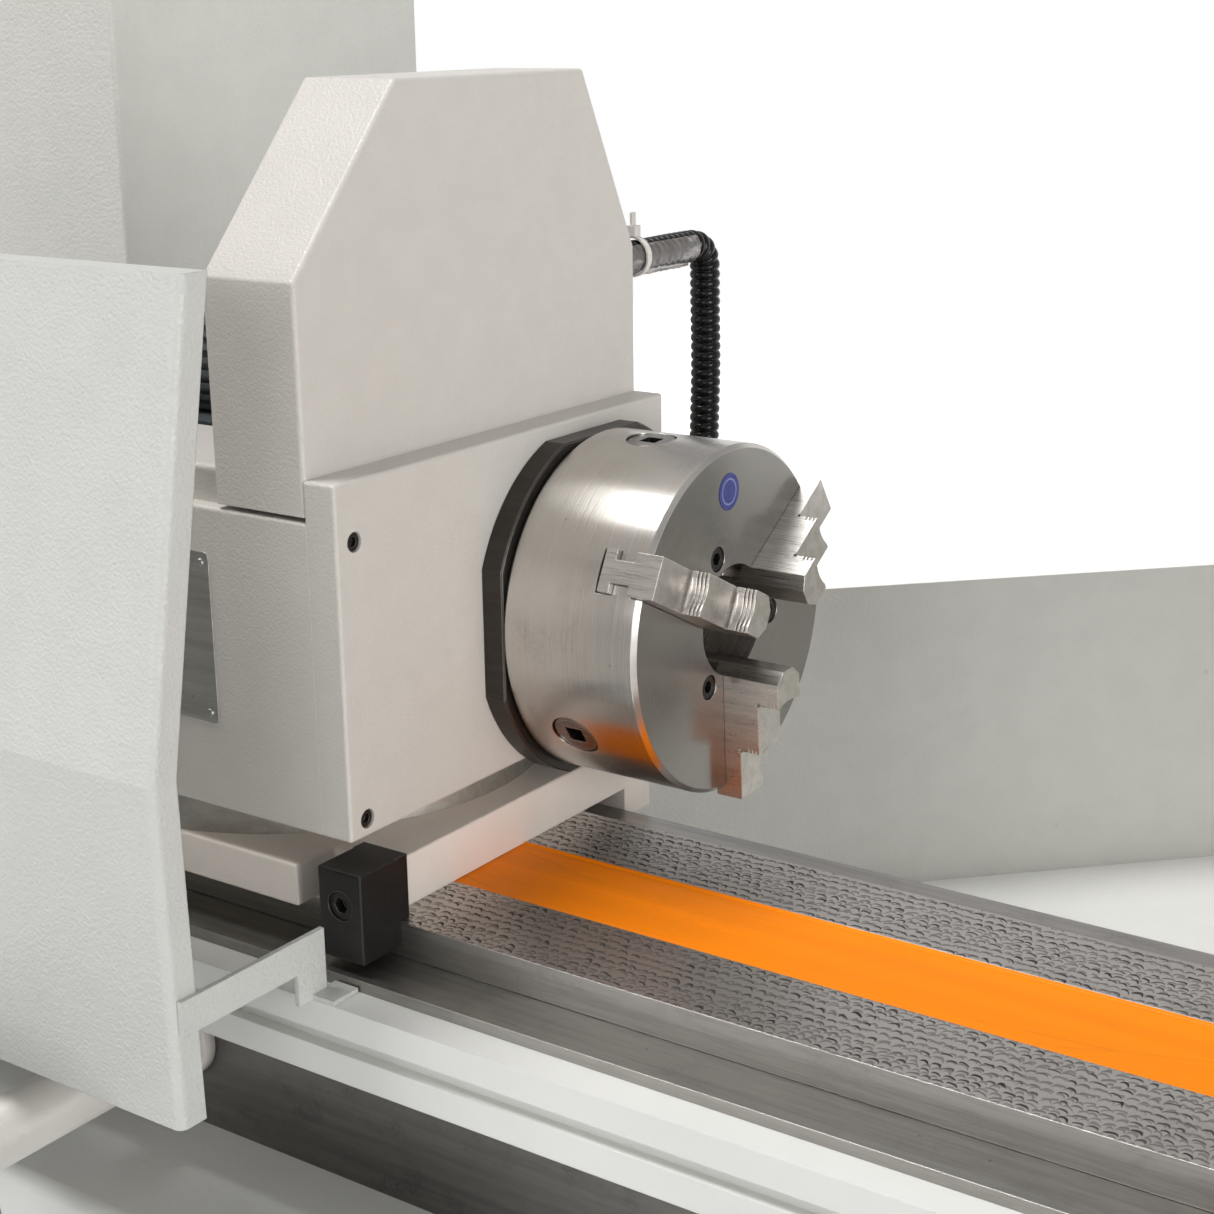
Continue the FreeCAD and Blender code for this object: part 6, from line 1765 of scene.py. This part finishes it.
@dataclass(frozen=True)
class Studio:
    """Camera, lamps, world and floor.

    Attributes:
        datum: The pack's datum.
        eye: The camera's place about the chuck's face.
        yaw: Its turn about Z in degrees.
        pitch: How far it looks down.
        roll: Its roll.
        lens: Its focal length.
        sky: Strength of the light from all round.
        mirrored: How bright metal mirrors the world.
        belt: How bright it mirrors the belt at mid height.
        floor_tone: Share of the light that the floor sends back.
        floor_glow: What the floor adds where the camera sees it.
        lamps: The soft lamps.
        floor_radius: How far the floor reaches, in metres.
    """

    datum: Datum
    eye: tuple[float, float, float] = (579.531, -953.154, 331.713)
    yaw: float = 34.959
    pitch: float = 16.197
    roll: float = -0.786
    lens: float = 60.94
    sky: float = 0.38
    mirrored: float = 0.95
    belt: float = 0.45
    floor_tone: float = 0.62
    floor_glow: float = 0.52
    lamps: tuple[Lamp, ...] = (
        Lamp("overhead", 2.45, 22.0, (-0.32, -0.2, 0.93)),
        Lamp("left", 0.32, 16.0, (-0.5, -0.84, 0.2)),
        Lamp("front", 0.35, 30.0, (0.25, -0.92, 0.25)),
        Lamp("right", 1.5, 26.0, (0.95, -0.25, 0.07)))
    floor_radius: float = 9.0

    def build(self) -> None:
        """Makes the whole studio."""
        self.place_camera()
        self.light()
        self.lay_floor()

    def place_camera(self) -> None:
        """Sets the camera: right, up and back are the columns of its matrix."""
        turn, dip, lean = (math.radians(a) for a in (self.yaw, self.pitch, self.roll))
        flat = Vector((math.cos(turn), math.sin(turn), 0))
        back = Vector((math.sin(turn) * math.cos(dip), -math.cos(turn) * math.cos(dip),
                       math.sin(dip)))
        rise = back.cross(flat)
        right = flat * math.cos(lean) + rise * math.sin(lean)
        up = rise * math.cos(lean) - flat * math.sin(lean)
        data = bpy.data.cameras.new("camera")
        data.lens = self.lens
        data.sensor_width = CAMERA_FRAME_MM
        data.clip_end = 100
        camera = bpy.data.objects.new("camera", data)
        bpy.context.scene.collection.objects.link(camera)
        matrix = Matrix((right, up, back)).transposed().to_4x4()
        matrix.translation = Vector(self.datum.place(np.array(self.eye)))
        camera.matrix_world = matrix
        bpy.context.scene.camera = camera

    def light(self) -> None:
        """Adds the lamps, and a world that is white to the camera and softer as light.

        Metal mirrors it with a darker belt between the lamps' heights.
        """
        for lamp in self.lamps:
            sun = bpy.data.lights.new(lamp.name, "SUN")
            sun.energy = lamp.strength
            sun.angle = math.radians(lamp.spread)
            holder = bpy.data.objects.new(lamp.name, sun)
            turn = Vector(lamp.way).to_track_quat("Z", "Y")
            holder.matrix_world = turn.to_matrix().to_4x4()
            bpy.context.scene.collection.objects.link(holder)
        world = bpy.data.worlds.new("studio")
        world.use_nodes = True
        world.node_tree.nodes.clear()
        graph = Graph(world.node_tree)
        rays = graph.add("ShaderNodeLightPath")
        seen = graph.math("MAXIMUM", rays.outputs["Is Camera Ray"],
                          rays.outputs["Is Transmission Ray"])
        way = graph.split(graph.add("ShaderNodeTexCoord").outputs["Generated"])
        belt = graph.times(graph.spread(way[2], 0.28, 0.5), graph.spread(way[2], 0.93, 0.75))
        mirrored = graph.times(rays.outputs["Is Glossy Ray"],
                               graph.spread(belt, 0.0, 1.0, self.mirrored, self.belt))
        direct = graph.math("ADD", graph.times(seen, 1 - self.sky), self.sky)
        strength = graph.math("MAXIMUM", direct, mirrored)
        back = graph.add("ShaderNodeBackground", {"Color": (1, 1, 1, 1), "Strength": strength})
        output = graph.add("ShaderNodeOutputWorld")
        world.node_tree.links.new(back.outputs[0], output.inputs["Surface"])
        bpy.context.scene.world = world

    def lay_floor(self) -> None:
        """Lays a pale round floor that is white to the camera except where it is shaded."""
        made = bpy.data.materials.new("studio_floor")
        made.use_nodes = True
        made.node_tree.nodes.clear()
        graph = Graph(made.node_tree)
        rays = graph.add("ShaderNodeLightPath")
        seen = graph.math("MAXIMUM", rays.outputs["Is Camera Ray"], rays.outputs["Is Glossy Ray"])
        shader = graph.add("ShaderNodeBsdfPrincipled", {
            "Base Color": (*(self.floor_tone,) * 3, 1), "Roughness": 0.8,
            "Emission Color": (1, 1, 1, 1),
            "Emission Strength": graph.times(seen, self.floor_glow)})
        output = graph.add("ShaderNodeOutputMaterial")
        made.node_tree.links.new(shader.outputs[0], output.inputs["Surface"])
        turn = np.arange(96) * FULL_TURN / 96
        rim = np.stack([np.cos(turn), np.sin(turn), np.zeros(96)], -1) * self.floor_radius
        mesh = bpy.data.meshes.new("studio_floor")
        mesh.from_pydata(rim.tolist(), [], [tuple(range(96))])
        mesh.materials.append(made)
        floor = bpy.data.objects.new("studio_floor", mesh)
        bpy.context.scene.collection.objects.link(floor)
        floor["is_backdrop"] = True


FRAME: dict = {}


def main() -> tuple:
    """Builds the studio and every sub-assembly in order.

    Returns:
        The CAD box and the dressed part's box.
    """
    logging.basicConfig(level=logging.INFO, format="%(message)s")
    FRAME.update(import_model())
    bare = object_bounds()
    datum = Datum.read()
    Studio(datum).build()
    palette = Palette(datum)
    for kind in (Workhead, Chuck, SwivelBase, Table, Bed, Handwheels, Wheelhead, Tailstock):
        kind(datum, palette).build()
    bpy.context.scene.view_settings.view_transform = "Standard"
    return bare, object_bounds()


if __name__ == "__main__":
    boxes_found = main()
